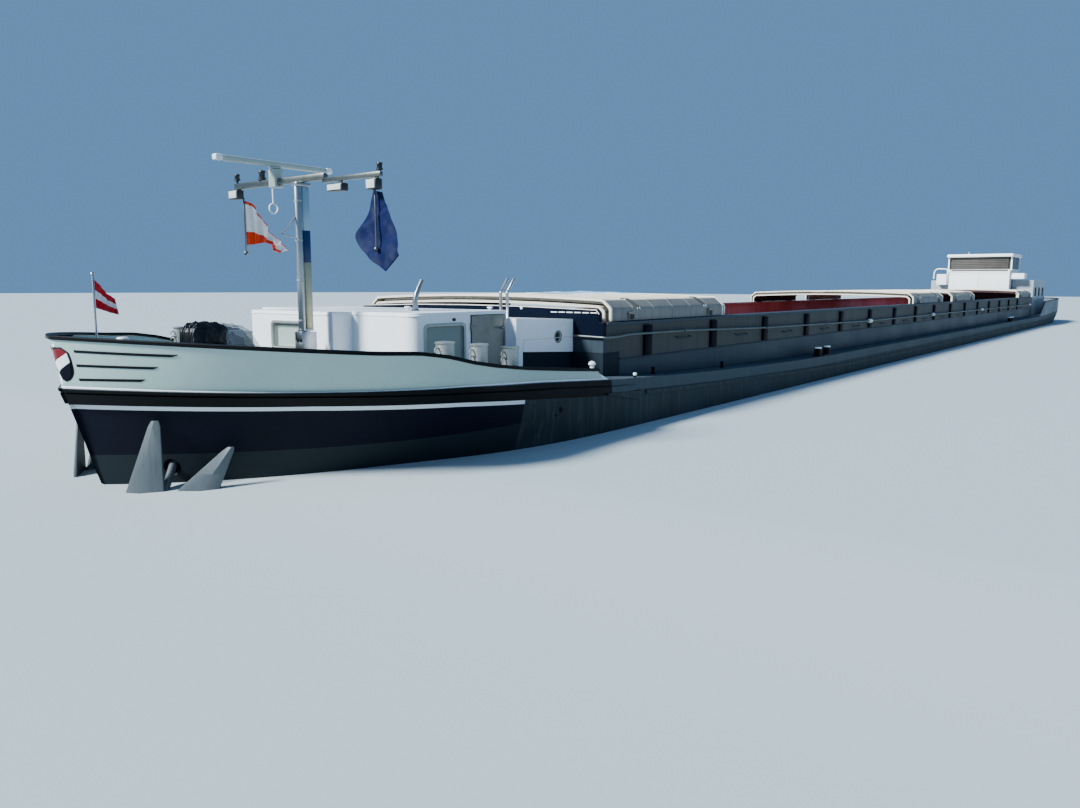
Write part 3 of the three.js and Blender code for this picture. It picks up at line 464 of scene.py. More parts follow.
@dataclass(frozen=True)
class Finish:
    """A finish, made into a material when first used."""
    name: str

    def build(self) -> Material:
        """Makes the material; each kind of finish has its own way."""
        raise NotImplementedError

    def material(self) -> Material:
        """The material, made once."""
        return bpy.data.materials.get(self.name) or self.build()


@dataclass(frozen=True)
class Coating(Finish):
    """Marine alkyd enamel brushed or rolled on steel plate: an even colour that chalks in large
    clouds, dirt that runs down in narrow streaks, and a fine orange-peel relief in the gloss."""
    colour: str
    faded: str
    grime: str
    roughness: float = 0.4
    metallic: float = 0.0
    streaks: float = 0.35
    cloud_mm: float = 1900.0
    streak_mm: float = 70.0
    grain_mm: float = 16.0          # real grain is 1 mm; drawn coarse enough to show
    relief_mm: float = 1.2
    stretch: float = 0.05           # how much longer a streak is than wide, as a share
    specular: float = 0.4           # dull, chalked enamels reflect less than fresh gloss

    def shades(self, graph: Graph) -> tuple[Socket, Socket, Socket]:
        """Adds the coating's patterns.

        Args:
            graph: the tree to add to.

        Returns:
            The colour, the roughness and the normal.
        """
        add, at = graph.add, graph.objects
        cloud, base = graph.mottled(self.cloud_mm, (0.35, 0.7, 1.0), self.colour, self.faded, 6.0, 0.6)
        drawn = add("Mapping", {"Vector": at, "Scale": (1.0, 1.0, self.stretch)})
        _, colour = graph.mottled(self.streak_mm, (0.5, 0.8, self.streaks), base, self.grime, 4.0, 0.65,
                                  drawn)
        rough = add("MapRange", {"Value": cloud, "From Min": 0.3, "From Max": 0.7,
                                 "To Min": self.roughness - 0.07, "To Max": self.roughness + 0.1})
        grain = add("TexNoise", {"Vector": at, "Scale": per_mm(self.grain_mm), "Detail": 3.0})
        normal = add("Bump", {"Height": grain, "Strength": 0.35, "Distance": self.relief_mm * SHIP})
        return colour, rough, normal

    def build(self) -> Material:
        """Makes the material.

        Returns:
            The material.
        """
        graph = Graph(self.name)
        colour, rough, normal = self.shades(graph)
        return graph.finish(Base_Color=colour, Roughness=rough, Normal=normal, Metallic=self.metallic,
                            Specular_IOR_Level=self.specular)


@dataclass(frozen=True)
class BrushedSteel(Finish):
    """Stainless tube and sheet, ground along its length: fine lines that stretch the highlights, and
    faint brown tea stains where spray dries."""
    colour: str = "#A8ADB0"
    stain: str = "#7A7568"
    roughness: float = 0.3
    line_mm: float = 7.0            # real lines are 0.1 mm; drawn coarse enough to show
    stretch: tuple[float, float, float] = (1.0, 1.0, 0.03)

    def build(self) -> Material:
        """Makes the material.

        Returns:
            The material.
        """
        graph = Graph(self.name)
        drawn = graph.add("Mapping", {"Vector": graph.objects, "Scale": self.stretch})
        lines = graph.add("TexNoise", {"Vector": drawn, "Scale": per_mm(self.line_mm), "Detail": 3.0})
        _, colour = graph.mottled(420.0, (0.5, 0.75, 0.6), self.colour, self.stain)
        rough = graph.add("MapRange", {"Value": lines, "To Min": self.roughness - 0.08,
                                       "To Max": self.roughness + 0.14})
        normal = graph.add("Bump", {"Height": lines, "Strength": 0.2, "Distance": 0.6 * SHIP})
        return graph.finish(Base_Color=colour, Roughness=rough, Normal=normal, Metallic=1.0)


@dataclass(frozen=True)
class Galvanised(Finish):
    """Hot-dip galvanised steel: spangles of zinc, each crystal a slightly other grey, dulled white."""
    colour: str = "#B2B5B1"
    dark: str = "#888C8A"

    def build(self) -> Material:
        """Makes the material.

        Returns:
            The material.
        """
        graph = Graph(self.name)
        spangle = graph.add("TexVoronoi", {"Vector": graph.objects, "Scale": per_mm(26.0)}, output="Color")
        shade = graph.add("MapRange", {"Value": spangle, "To Max": 0.4})
        dull = graph.add("TexNoise", {"Vector": graph.objects, "Scale": per_mm(260.0), "Detail": 5.0})
        colour = graph.add("Mix", {0: shade, 6: linear(self.colour), 7: linear(self.dark)}, **RGBA)
        rough = graph.add("MapRange", {"Value": dull, "To Min": 0.35, "To Max": 0.6})
        normal = graph.add("Bump", {"Height": dull, "Strength": 0.15, "Distance": 1.0 * SHIP})
        return graph.finish(Base_Color=colour, Roughness=rough, Normal=normal, Metallic=0.85)


@dataclass(frozen=True)
class PaneGlass(Finish):
    """Float glass with a faint tint: mirror-like, with a film of dust that dulls it in places."""
    colour: str
    clear: float                    # opacity: 1 hides the room behind
    roughness: float = 0.06
    dust: float = 0.25

    def build(self) -> Material:
        """Makes the material.

        Returns:
            The material.
        """
        graph = Graph(self.name)
        dust, colour = graph.mottled(300.0, (0.45, 0.8, self.dust), self.colour, "#8F9A9C")
        rough = graph.add("MapRange", {"Value": dust, "From Min": 0.4, "From Max": 0.8,
                                       "To Min": self.roughness, "To Max": self.roughness + 0.2})
        wave = graph.add("TexNoise", {"Vector": graph.objects, "Scale": per_mm(900.0), "Detail": 1.0})
        normal = graph.add("Bump", {"Height": wave, "Strength": 0.1, "Distance": 3.0 * SHIP})
        return graph.finish(Base_Color=colour, Roughness=rough, Normal=normal, IOR=1.52, Alpha=self.clear)


@dataclass(frozen=True)
class Moulded(Finish):
    """Moulded plastic, rubber or glass-reinforced polyester: a satin skin with a fine grain, paler
    where the sun has chalked it."""
    colour: str
    faded: str
    roughness: float = 0.45

    def build(self) -> Material:
        """Makes the material.

        Returns:
            The material.
        """
        graph = Graph(self.name)
        cloud, colour = graph.mottled(380.0, (0.4, 0.75, 1.0), self.colour, self.faded, 5.0)
        grain = graph.add("TexNoise", {"Vector": graph.objects, "Scale": per_mm(9.0), "Detail": 2.0})
        normal = graph.add("Bump", {"Height": grain, "Strength": 0.3, "Distance": 0.5 * SHIP})
        rough = graph.add("MapRange", {"Value": cloud, "To Min": self.roughness - 0.05,
                                       "To Max": self.roughness + 0.12})
        return graph.finish(Base_Color=colour, Roughness=rough, Normal=normal)


@dataclass(frozen=True)
class Cloth(Finish):
    """Woven or coated cloth: diagonal threads, a soft sheen at grazing angles, and paler, dusty
    folds. The weave follows the piece's own UV map, whose u and v run from 0 to 1."""
    colour: str
    edge: str = ""                  # colour along the upper edge and below, outside `split`
    split: tuple[float, float] = (-1.0, 2.0)   # shares of the height between which the cloth is plain
    roughness: float = 0.8
    sheen: float = 0.3
    dust: float = 0.35
    specular: float = 0.1           # loose fibres scatter the light; coated cloth reflects more
    clear: float = 1.0

    def build(self) -> Material:
        """Makes the material.

        Returns:
            The material.
        """
        graph = Graph(self.name)
        flat = graph.add("UVMap", {}, uv_map="cloth")
        down = graph.add("SeparateXYZ", {0: flat}, output=1)
        above = graph.add("Math", {0: down, 1: self.split[0]}, operation="LESS_THAN")
        below = graph.add("Math", {0: down, 1: self.split[1]}, operation="GREATER_THAN")
        bordered = graph.add("Math", {0: above, 1: below}, operation="MAXIMUM")
        # threads are 0.5 mm; drawn 8 mm wide on a sheet of about 1 m, coarse enough to show
        threads = graph.add("TexWave", {"Vector": flat, "Scale": 60.0, "Distortion": 0.6}, output=1,
                            wave_type="BANDS", bands_direction="DIAGONAL")
        base = graph.add("Mix", {0: bordered, 6: linear(self.colour), 7: linear(self.edge or self.colour)},
                         **RGBA)
        _, colour = graph.mottled(240.0, (0.45, 0.8, self.dust), base, "#9A9FA6", 5.0)
        normal = graph.add("Bump", {"Height": threads, "Strength": 0.25, "Distance": 0.8 * SHIP})
        return graph.finish(Base_Color=colour, Roughness=self.roughness, Normal=normal,
                            Sheen_Weight=self.sheen, Alpha=self.clear, Specular_IOR_Level=self.specular)


@dataclass(frozen=True)
class HullPaint(Coating):
    """Paint of the ship's side in its zones: a black rubbing band, a white line, a navy bow, and
    weathered charcoal elsewhere, scraped by locks and quays and streaked with lime and rust.

    The zones follow two attributes of the hull: `rise` is the height over the deck edge and
    `line` is the distance from the white line's middle, both in millimetres.
    """
    navy: tuple[str, str] = ("#01030F", "#03061A")
    band: str = "#030406"
    white: str = "#D9DEE0"
    boot: str = "#1A2226"
    strake: str = "#4C5860"
    navy_end: float = 31330.0
    band_end: float = 28900.0
    line_half: float = 31.0
    boot_slope: float = -0.0436     # the navy's lower edge falls forward by this share
    boot_point: tuple[float, float] = (36173.0, 2402.0)

    def build(self) -> Material:
        """Makes the material from masks that are 0 or 1 and the paints they lay over each other.

        Returns:
            The material.
        """
        graph = Graph(self.name)
        add = graph.add
        colour, rough, normal = self.shades(graph)
        x, z = (add("SeparateXYZ", {0: graph.objects}, output=axis) for axis in (0, 2))
        rise, line = (add("Attribute", {}, output="Fac", attribute_name=name) for name in ("rise", "line"))
        start = (self.boot_point[1] - self.boot_slope * self.boot_point[0]) * SHIP
        masks: dict[str, Socket] = {
            "x": x, "z": z, "line": line,
            "slope": add("Math", {0: x, 1: self.boot_slope, 2: start}, operation="MULTIPLY_ADD"),
            "edge": add("MapRange", {"Value": rise, "From Min": -240.0, "From Max": -225.0, "To Max": 0.5})}
        for name, operation, first, second in (
                ("fore", "GREATER_THAN", "x", self.navy_end * SHIP),
                ("under_line", "LESS_THAN", "line", 0.0),
                ("over_boot", "GREATER_THAN", "z", "slope"),
                ("boot", "MULTIPLY", "fore", "under_line"),
                ("navy", "MULTIPLY", "boot", "over_boot"),
                ("over_line", "GREATER_THAN", "line", self.line_half),
                ("banded", "GREATER_THAN", "x", self.band_end * SHIP),
                ("band", "MULTIPLY", "over_line", "banded"),
                ("near", "ABSOLUTE", "line", 0.0),
                ("on_line", "LESS_THAN", "near", self.line_half),
                ("white", "MULTIPLY", "on_line", "fore"),
                ("aft", "SUBTRACT", 1.0, "banded"),
                ("strake", "MULTIPLY", "edge", "aft")):
            masks[name] = add("Math", {0: masks.get(first, first), 1: masks.get(second, second)},
                              operation=operation)
        faint = add("TexNoise", {"Vector": graph.objects, "Scale": per_mm(900.0), "Detail": 5.0})
        navy = add("Mix", {0: faint, 6: linear(self.navy[0]), 7: linear(self.navy[1])}, **RGBA)
        for mask, paint in (("boot", linear(self.boot)), ("navy", navy), ("band", linear(self.band)),
                            ("white", linear(self.white)), ("strake", linear(self.strake))):
            colour = add("Mix", {0: masks[mask], 6: colour, 7: paint}, **RGBA)
        return graph.finish(Base_Color=colour, Roughness=rough, Normal=normal,
                            Specular_IOR_Level=self.specular)


# Enamels rolled on the hull, the deck and the hold: dull and chalked, with long streaks of run-off
HULL_PAINT = HullPaint("alkyd_enamel_on_hull_plate", "#1D2528", "#323B3E", "#565C58", 0.6,
                       streaks=0.45, streak_mm=110.0, specular=0.12)
SIDE_PAINT = Coating("weathered_enamel_on_side_bars", "#232B2F", "#30393D", "#4C5353", 0.6, streaks=0.7,
                     specular=0.12)
DECK_PAINT = Coating("non_slip_deck_paint", "#3A4650", "#4A555B", "#2B3033", 0.75, relief_mm=4.0,
                     grain_mm=24.0, stretch=1.0, specular=0.2)
HOLD_PAINT = Coating("red_oxide_hold_primer", "#9A5456", "#B07274", "#54302E", 0.65, streaks=0.6,
                     specular=0.1)
COAMING_PAINT = Coating("slate_alkyd_on_coaming", "#2D3841", "#36414A", "#1C2228", 0.5, streaks=0.5,
                        streak_mm=130.0, specular=0.15)
PANEL_PAINT = Coating("weathered_grey_on_coaming_panels", "#3B3C3C", "#494843", "#232424", 0.55,
                      streaks=0.55, streak_mm=120.0, specular=0.15)
# Frame strips: dark blue paint, darkened almost to black as painted shade on their faces
STRIP_PAINT_AND_SHADE = Coating("dark_blue_frame_paint", "#02060E", "#050C18", "#10161E", 0.5, streaks=0.3,
                      specular=0.04)
HATCH_NAVY = Coating("navy_alkyd_on_hatch_end", "#030918", "#061022", "#03050C", 0.45, streaks=0.3,
                     specular=0.05)
# Near-black base paint; on the downward-facing faces of the hawse holes it is painted shade
DARK_PAINT_AND_SHADE = Coating("near_black_base_paint", "#1A222A", "#232C33", "#11171C", 0.55, streaks=0.3,
                     specular=0.05)
STERN_GREY = Coating("dull_grey_alkyd", "#6A757C", "#5E686F", "#3E474C", 0.5, streaks=0.4, specular=0.2)
DECKHOUSE_GREY = Coating("light_grey_alkyd", "#A0A8AE", "#929BA2", "#5F686E", 0.45, streaks=0.4)
WINCH_PAINT = Coating("machinery_grey_enamel", "#8F979B", "#7F878B", "#4A4E4E", 0.4, streaks=0.4)
# Gloss enamels that are kept fresh: clear highlights, few streaks
BOW_ENAMEL = Coating("pale_blue_grey_enamel", "#9DB4AE", "#93AAA6", "#7A8E8E", 0.3, streaks=0.2,
                     cloud_mm=2600.0)
RAIL_ENAMEL = Coating("black_gloss_enamel", "#050608", "#0A0B0D", "#1A1D20", 0.4, streaks=0.3, specular=0.08)
WHITE_ENAMEL = Coating("white_gloss_enamel", "#F6F8F9", "#EEF1F3", "#C6CAC8", 0.26, streaks=0.15)
LINE_WHITE = Coating("white_line_enamel", "#F2F5F5", "#E6EAEB", "#B8BCB8", 0.35, streaks=0.25)
SHIELD_RED = Coating("signal_red_enamel", "#760C1A", "#680C18", "#4C0C14", 0.3, streaks=0.2, specular=0.25)
SHIELD_NAVY = Coating("navy_sign_enamel", "#03060F", "#070A16", "#10131E", 0.35, streaks=0.2, specular=0.08)
# Bare and painted sheet and castings: a little metal shines through the dull skin
COVER_SKIN = Coating("weathered_aluminium_sheet", "#777571", "#86837A", "#4E504D", 0.5, metallic=0.2,
                     streaks=0.6, streak_mm=120.0)
# Top faces of the cover sheet: a much paler copy of the sheet's colour, as painted sunlight
COVER_TOP_PAINTED_SUNLIGHT = Coating("sun_bleached_aluminium_sheet", "#DAD3BC", "#E6E0CC", "#8C8674", 0.6, streaks=0.7,
                    streak_mm=90.0, stretch=1.0)
COVER_RIM = Coating("cream_rim_paint", "#E0D9C8", "#EAE5D6", "#948C78", 0.45, streaks=0.4)
# Near-black inside of the smallest cover: painted shade under its arch, not soot
COVER_PAINTED_SHADE = Coating("sooty_inside_of_sheet", "#24221F", "#2C2A27", "#141312", 0.7, specular=0.05)
COVER_LINING = Coating("tarnished_inside_of_sheet", "#857D6C", "#948C7A", "#5A5548", 0.6, streaks=0.5,
                       specular=0.1)
ANCHOR_PAINT = Coating("grey_paint_on_cast_steel", "#454D52", "#525A5E", "#2E3539", 0.5, metallic=0.2,
                       streaks=0.45, streak_mm=40.0, relief_mm=3.0, grain_mm=30.0)
NAVY_PLATE = Coating("navy_plate", "#0E2A54", "#14335E", "#1C2C40", 0.3, metallic=0.2, streaks=0.2)
BLUE_PLATE = Coating("bare_bluish_plate", "#7FA0B4", "#8DAABA", "#5E6E78", 0.3, metallic=0.3, streaks=0.2)
# Plastics and rubber: soft highlights, paler on worn edges
RADAR_SKIN = Moulded("radar_gelcoat", "#94A29B", "#A5B1AB", 0.35)
WHITE_PLASTIC = Moulded("white_lamp_housing", "#E8ECEC", "#D8DCDC", 0.35)
MINT_PLASTIC = Moulded("pale_green_blind_slats", "#C4D6CA", "#D2E0D6", 0.4)
BLIND_SLATS = Moulded("brown_grey_blind_slats", "#3E3A35", "#4A463F", 0.5)
BLACK_PLASTIC = Moulded("black_lantern_housing", "#15171A", "#232629", 0.45)
RUBBER = Moulded("black_rubber", "#17181A", "#2A2B2C", 0.75)
BLACK_STRAP = Moulded("polyester_lashing_strap", "#3A3D3F", "#55585A", 0.8)
# Metals: stretched highlights on ground steel, spangles on zinc, a warm tone on bronze
STEEL = BrushedSteel("brushed_stainless_tube")
# Darker steel for the cross-arm: the dark colour is a painted reflection of dark surroundings
STEEL_WITH_PAINTED_REFLECTION = BrushedSteel("unpolished_stainless_tube", "#6C706C", "#4A4A42", 0.35)
DOOR_STEEL = BrushedSteel("worn_stainless_door", "#7E807C", "#605C54", 0.42, stretch=(0.04, 1.0, 1.0))
YELLOWED_STEEL = BrushedSteel("lichen_stained_steel", "#B9B49A", "#8A8660", 0.45)
BRONZE = BrushedSteel("cast_manganese_bronze", "#A07C3E", "#5F5A38", 0.35, stretch=(1.0, 1.0, 1.0))
ZINC = Galvanised("hot_dip_galvanised_steel")
OLD_ZINC = Galvanised("weathered_galvanised_pipe", "#6E7473", "#565B5B")
# Glass: clear in front of the cabin, dark where only the sky shows in it
CABIN_GLASS = PaneGlass("tinted_cabin_glass", "#93A9A2", 0.5)
FRONT_GLASS = PaneGlass("clear_front_glass", "#A9B8B0", 0.16)
BRIDGE_GLASS = PaneGlass("dark_bridge_glass", "#35332F", 1.0, 0.25, dust=0.06)
LENS = PaneGlass("lamp_lens", "#C9CDC9", 1.0, 0.15)
SMOKED_LENS = PaneGlass("smoked_lantern_lens", "#1C1E20", 1.0, 0.12)
# Cloth: coated tarpaulin and polythene catch the light on their creases, bunting stays matt
TARP = Cloth("coated_winch_tarpaulin", "#06070D", roughness=0.36, sheen=0.0, dust=0.06, specular=0.3)
CLEAR_SHEET = Cloth("milky_polythene_sheet", "#C4C9C6", roughness=0.14, sheen=0.0, clear=0.2, specular=0.8)
BLUE_SHEET = Cloth("light_blue_cover_sheet", "#7DB4DC", "#E8EEF0", (0.25, 0.8), roughness=0.55, dust=0.15)
ORANGE_FLAG = Cloth("orange_and_white_bunting", "#ECE8E4", "#E23A10", (0.07, 0.7), sheen=0.1, dust=0.12)
BLUE_FLAG = Cloth("blue_bunting", "#05123C", sheen=0.05, dust=0.08)
JACK_FLAG = Cloth("red_and_white_bunting", "#ECE8E4", "#C80F20", (0.36, 0.66), sheen=0.1, dust=0.12)


# Pieces

Zones = Callable[[Array, Array], Array]


def stand(name: str, data: bpy.types.ID) -> Object:
    """Adds an object to the scene.

    Args:
        name: its name.
        data: its mesh, camera or light.

    Returns:
        The object.
    """
    obj = bpy.data.objects.new(name, data)
    bpy.context.scene.collection.objects.link(obj)
    return obj


def placed(obj: Object, body: str = SHIP_BODY, nodes: Sequence[str] = ()) -> Object:
    """Puts a piece on its body, and hides the CAD nodes it stands for.

    Args:
        obj: the piece.
        body: body that it moves with.
        nodes: CAD nodes that it replaces.

    Returns:
        The piece.
    """
    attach(obj, body)
    if nodes:
        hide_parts(*nodes)
    log.info("piece %s on %s", obj.name, body)
    return obj


def mesh_of(name: str, form: Form) -> bpy.types.Mesh:
    """Puts a shape into a mesh, merges doubled points and turns its faces outwards.

    Args:
        name: the mesh's name.
        form: the shape in the ship's millimetres.

    Returns:
        The mesh in the model's metres.
    """
    mesh = bpy.data.meshes.new(name)
    mesh.vertices.add(len(form.points))
    mesh.vertices.foreach_set("co", (form.points * SHIP).ravel())
    corners = np.concatenate([f.ravel() for f in form.faces])
    sizes = np.concatenate([np.full(len(f), f.shape[1]) for f in form.faces])
    mesh.loops.add(len(corners))
    mesh.loops.foreach_set("vertex_index", corners.astype(np.int32))
    mesh.polygons.add(len(sizes))
    mesh.polygons.foreach_set("loop_start", np.concatenate([[0], np.cumsum(sizes)[:-1]]).astype(np.int32))
    mesh.update(calc_edges=True)
    mesh.validate()
    cleaned = bmesh.new()
    cleaned.from_mesh(mesh)
    bmesh.ops.remove_doubles(cleaned, verts=cleaned.verts, dist=2e-6)
    bmesh.ops.recalc_face_normals(cleaned, faces=cleaned.faces)
    cleaned.to_mesh(mesh)
    cleaned.free()
    return mesh


def dress(obj: Object, finishes: Sequence[Finish], zones: Zones | None = None) -> None:
    """Gives an object its materials.

    Args:
        obj: the object.
        finishes: its finishes.
        zones: returns the finish number of each face from the faces' centres in the ship's
            millimetres and their normals.
    """
    mesh = obj.data
    mesh.materials.clear()
    for finish in finishes:
        mesh.materials.append(finish.material())
    if zones is not None:
        centres = np.empty(len(mesh.polygons) * 3)
        normals = np.empty(len(mesh.polygons) * 3)
        mesh.polygons.foreach_get("center", centres)
        mesh.polygons.foreach_get("normal", normals)
        number = zones(centres.reshape(-1, 3) / SHIP, normals.reshape(-1, 3)).astype(np.int32)
        mesh.polygons.foreach_set("material_index", number)


def shade(obj: Object, angle: float = 34.0) -> None:
    """Smooth shading with edges sharper than `angle` degrees kept crisp."""
    obj.data.shade_smooth()
    obj.data.set_sharp_from_angle(angle=math.radians(angle))


def bevelled(obj: Object, width: float, segments: int = 2, angle: float = 35.0) -> None:
    """Rounds the edges of a piece with a Bevel modifier.

    Args:
        obj: the piece.
        width: width of the rounding in the ship's millimetres.
        segments: steps in it.
        angle: edges that turn by less, in degrees, stay as they are.
    """
    bevel = obj.modifiers.new("edges", "BEVEL")
    bevel.width = width * SHIP
    bevel.segments = segments
    bevel.limit_method = "ANGLE"
    bevel.angle_limit = math.radians(angle)
    bevel.use_clamp_overlap = True


def piece(name: str, form: Form, finish: Finish, body: str = SHIP_BODY,
          nodes: Sequence[str] = (), edges: float = 0.0) -> Object:
    """Builds one piece of one finish and puts it on its body.

    Args:
        name: the piece's name.
        form: its shape.
        finish: its finish.
        body: body that it moves with.
        nodes: CAD nodes that it replaces.
        edges: rounding of its edges.

    Returns:
        The piece.
    """
    obj = stand(name, mesh_of(name, form))
    dress(obj, [finish])
    shade(obj)
    if edges:
        bevelled(obj, edges)
    return placed(obj, body, nodes)


def baked(obj: Object) -> None:
    """Applies an object's modifiers to its mesh.

    Args:
        obj: the object.
    """
    graph = bpy.context.evaluated_depsgraph_get()
    mesh = bpy.data.meshes.new_from_object(obj.evaluated_get(graph))
    old = obj.data
    obj.modifiers.clear()
    obj.data = mesh
    mesh.name = old.name
    bpy.data.meshes.remove(old)


def carve(obj: Object, tool: Form) -> None:
    """Cuts a closed shape out of a piece.

    Args:
        obj: the piece.
        tool: the shape to take away.
    """
    cutter = stand("cutter", mesh_of("cutter", tool))
    cut = obj.modifiers.new("cut", "BOOLEAN")
    cut.operation = "DIFFERENCE"
    cut.solver = "EXACT"
    cut.object = cutter
    baked(obj)
    mesh = cutter.data
    bpy.data.objects.remove(cutter)
    bpy.data.meshes.remove(mesh)


def rounded_copy(node: str, name: str, finish: Finish, edges: float, segments: int = 2,
                 body: str = SHIP_BODY) -> Object:
    """Stands a copy of a CAD node with merged points, whole flat faces and rounded edges for it.

    Args:
        node: the CAD node.
        name: name of the new piece.
        finish: its finish.
        edges: rounding of its edges.
        segments: steps in each rounding.
        body: body that it moves with.

    Returns:
        The piece.
    """
    mesh = frame["nodes"][node].data.copy()
    mesh.name = name
    solid = bmesh.new()
    solid.from_mesh(mesh)
    bmesh.ops.remove_doubles(solid, verts=solid.verts, dist=2e-6)
    bmesh.ops.dissolve_limit(solid, angle_limit=math.radians(0.8), verts=solid.verts, edges=solid.edges)
    solid.to_mesh(mesh)
    solid.free()
    obj = stand(name, mesh)
    dress(obj, [finish])
    shade(obj)
    bevelled(obj, edges, segments)
    return placed(obj, body, [node])


def dress_nodes(finish: Finish, *nodes: str) -> None:
    """Gives kept CAD nodes a finish."""
    for node in nodes:
        dress(frame["nodes"][node], [finish])


def keep_attribute(obj: Object, name: str, values: Array) -> None:
    """Stores one number for each point of a piece as a named attribute."""
    stored = obj.data.attributes.new(name, "FLOAT", "POINT")
    stored.data.foreach_set("value", values.astype(np.float32))


def points_of(obj: Object) -> Array:
    """Reads the points of a piece.

    Args:
        obj: the piece.

    Returns:
        Its points in the ship's millimetres.
    """
    flat = np.empty(len(obj.data.vertices) * 3)
    obj.data.vertices.foreach_get("co", flat)
    return flat.reshape(-1, 3) / SHIP


# The ship's lines

SHEER = np.array([
    [-36750, 3180], [-32000, 2990], [-28000, 2870], [-24000, 2806], [17000, 2815], [19500, 2835],
    [22000, 2880], [24250, 2930], [26500, 3008], [28750, 3108], [31000, 3250], [32600, 3322],
    [34000, 3347], [36750, 3390]], float)


def deck(x: Array | float) -> Array:
    """Height of the deck at the side."""
    return np.interp(x, SHEER[:, 0], SHEER[:, 1])


@dataclass(frozen=True)
class Level:
    """One waterplane of the hull: half-breadth of the parallel body, and how bow and stern close."""
    height: float
    breadth: float
    stem: float
    fore_shoulder: float
    fullness: float
    end: float
    aft_shoulder: float
    end_breadth: float
    end_height: float
    from_deck: bool = False

    def points(self, fore: Array, blend: Array, body: Array, aft_blend: Array, aft: Array) -> Array:
        """Points of the level at every station, from the stem aft.

        The bow's half-breadth is 40 + (breadth - 40) (1 - s^fullness) at share s of the way from the
        shoulder to the stem, and the stern's is breadth - (breadth - end breadth) s^2.8, while its
        height rises to the end height by the smooth step of s / 0.72.

        Args:
            fore: shares of the way from the fore shoulder to the stem.
            blend: shares of the way from the fore shoulder to the parallel body.
            body: x of the stations of the parallel body.
            aft_blend: shares of the way from the parallel body to the aft shoulder.
            aft: shares of the way from the aft shoulder to the end.

        Returns:
            Array of stations and x y z.
        """
        x = np.concatenate([
            self.fore_shoulder + (self.stem - self.fore_shoulder) * fore,
            self.fore_shoulder + (22000 - self.fore_shoulder) * blend, body,
            -24000 + (self.aft_shoulder + 24000) * aft_blend,
            self.aft_shoulder + (self.end - self.aft_shoulder) * aft])
        bow = 40 + (self.breadth - 40) * (1 - fore ** self.fullness)
        stern = self.breadth - (self.breadth - self.end_breadth) * aft ** 2.8
        middle = np.full(len(blend) + len(body) + len(aft_blend), self.breadth)
        share = np.concatenate([np.zeros(len(fore) + len(middle)), aft])
        step = np.clip(share / 0.72, 0, 1)
        base = deck(x) if self.from_deck else 0.0
        z = base + self.height + (self.end_height - self.height) * step * step * (3 - 2 * step)
        return np.stack([x, np.concatenate([bow, middle, stern]), z], axis=1)


LEVELS = [
    Level(0, 3720, 34500, 24000, 2.2, -35300, -25000, 900, 1640),
    Level(300, 4050, 35250, 25500, 2.6, -35500, -26000, 1500, 1690),
    Level(1100, 4050, 35900, 26500, 3.0, -35900, -27000, 2100, 1800),
    Level(WATERLINE, 4050, 36250, 27500, 3.3, -36300, -29000, 2700, WATERLINE),
    Level(-268, 4050, 36520, 30000, 3.1, -36630, -31500, 3000, -268, True),
    Level(0, 4050, 36620, 31000, 3.0, -36720, -32000, 3100, 0, True),
]
FORE_SHARES = np.interp(np.linspace(0, 11, 56), np.arange(12),
                        [1, 0.985, 0.955, 0.91, 0.85, 0.78, 0.7, 0.6, 0.48, 0.34, 0.18, 0])
AFT_SHARES = np.interp(np.linspace(0, 10, 31), np.arange(11),
                       [0.12, 0.24, 0.36, 0.48, 0.6, 0.7, 0.8, 0.88, 0.94, 0.98, 1])
STATIONS = (FORE_SHARES, np.linspace(0.1, 1, 10), np.array([19500.0, 17000.0, 5000.0, -10000.0, -24000.0]),
            np.linspace(0.2, 1, 5), AFT_SHARES)
BULWARK_TOP = Level(0, 4090, 36720, 31500, 3.9, 0, 0, 0, 0)
BULWARK_HEIGHT = np.array([
    [29200, 3279], [30200, 3360], [31400, 3471], [32100, 3560], [32600, 3645], [33100, 3760],
    [33600, 3835], [34200, 3862], [36750, 4056]], float)
STERN_HEIGHT = np.array([
    [-36750, 3900], [-30000, 3820], [-26200, 3760], [-25000, 3250], [-24600, 3000]], float)
RAIL_SECTION = ((-26, 4), (-26, 46), (-18, 56), (58, 56), (70, 46), (70, 4), (58, 1.6), (-18, 1.6))


def beside(line: Array, distance: float) -> Array:
    """Moves a line sideways in plan, keeping its corners mitred.

    Args:
        line: points of the line.
        distance: how far it moves to the right of its way.

    Returns:
        The moved line.
    """
    way = np.diff(line[:, :2], axis=0)
    way /= np.linalg.norm(way, axis=1, keepdims=True)
    total = np.concatenate([way[:1] * 2, way[:-1] + way[1:], way[-1:] * 2])
    length = np.linalg.norm(total, axis=1, keepdims=True)
    moved = line.copy()
    moved[:, :2] += np.stack([total[:, 1], -total[:, 0]], axis=1) / length * distance * 2 / length
    return moved


def lifted(line: Array, height: float) -> Array:
    """The line raised by a height."""
    return line + np.array([0.0, 0.0, height])


def moulding(line: Array, section: Sequence[tuple[float, float]]) -> Form:
    """Carries a section, given by sideways and upward distances, along a line."""
    return loft(np.stack([lifted(beside(line, out), up) for out, up in section], axis=1))


def plating(bottom: Array, top: Array, plate: float, steps: int) -> Form:
    """A bulwark's plate: point = bottom + (top - bottom) * share on its outer face, and the same
    between both lines moved inwards on its inner face, whose foot stays on the deck.

    Args:
        bottom: line of its foot.
        top: line of its upper edge.
        plate: thickness.
        steps: rows of points from foot to edge.

    Returns:
        The closed plate.
    """
    inner_bottom, inner_top = beside(bottom, plate), beside(top, plate)
    inner_bottom[:, 2] = np.maximum(inner_bottom[:, 2], deck(inner_bottom[:, 0]) + SEAT)
    share = np.linspace(0, 1, steps)[None, :, None]
    outer = bottom[:, None] + (top - bottom)[:, None] * share
    inner = inner_bottom[:, None] + (inner_top - inner_bottom)[:, None] * share
    return loft(np.concatenate([outer, inner[:, ::-1]], axis=1))


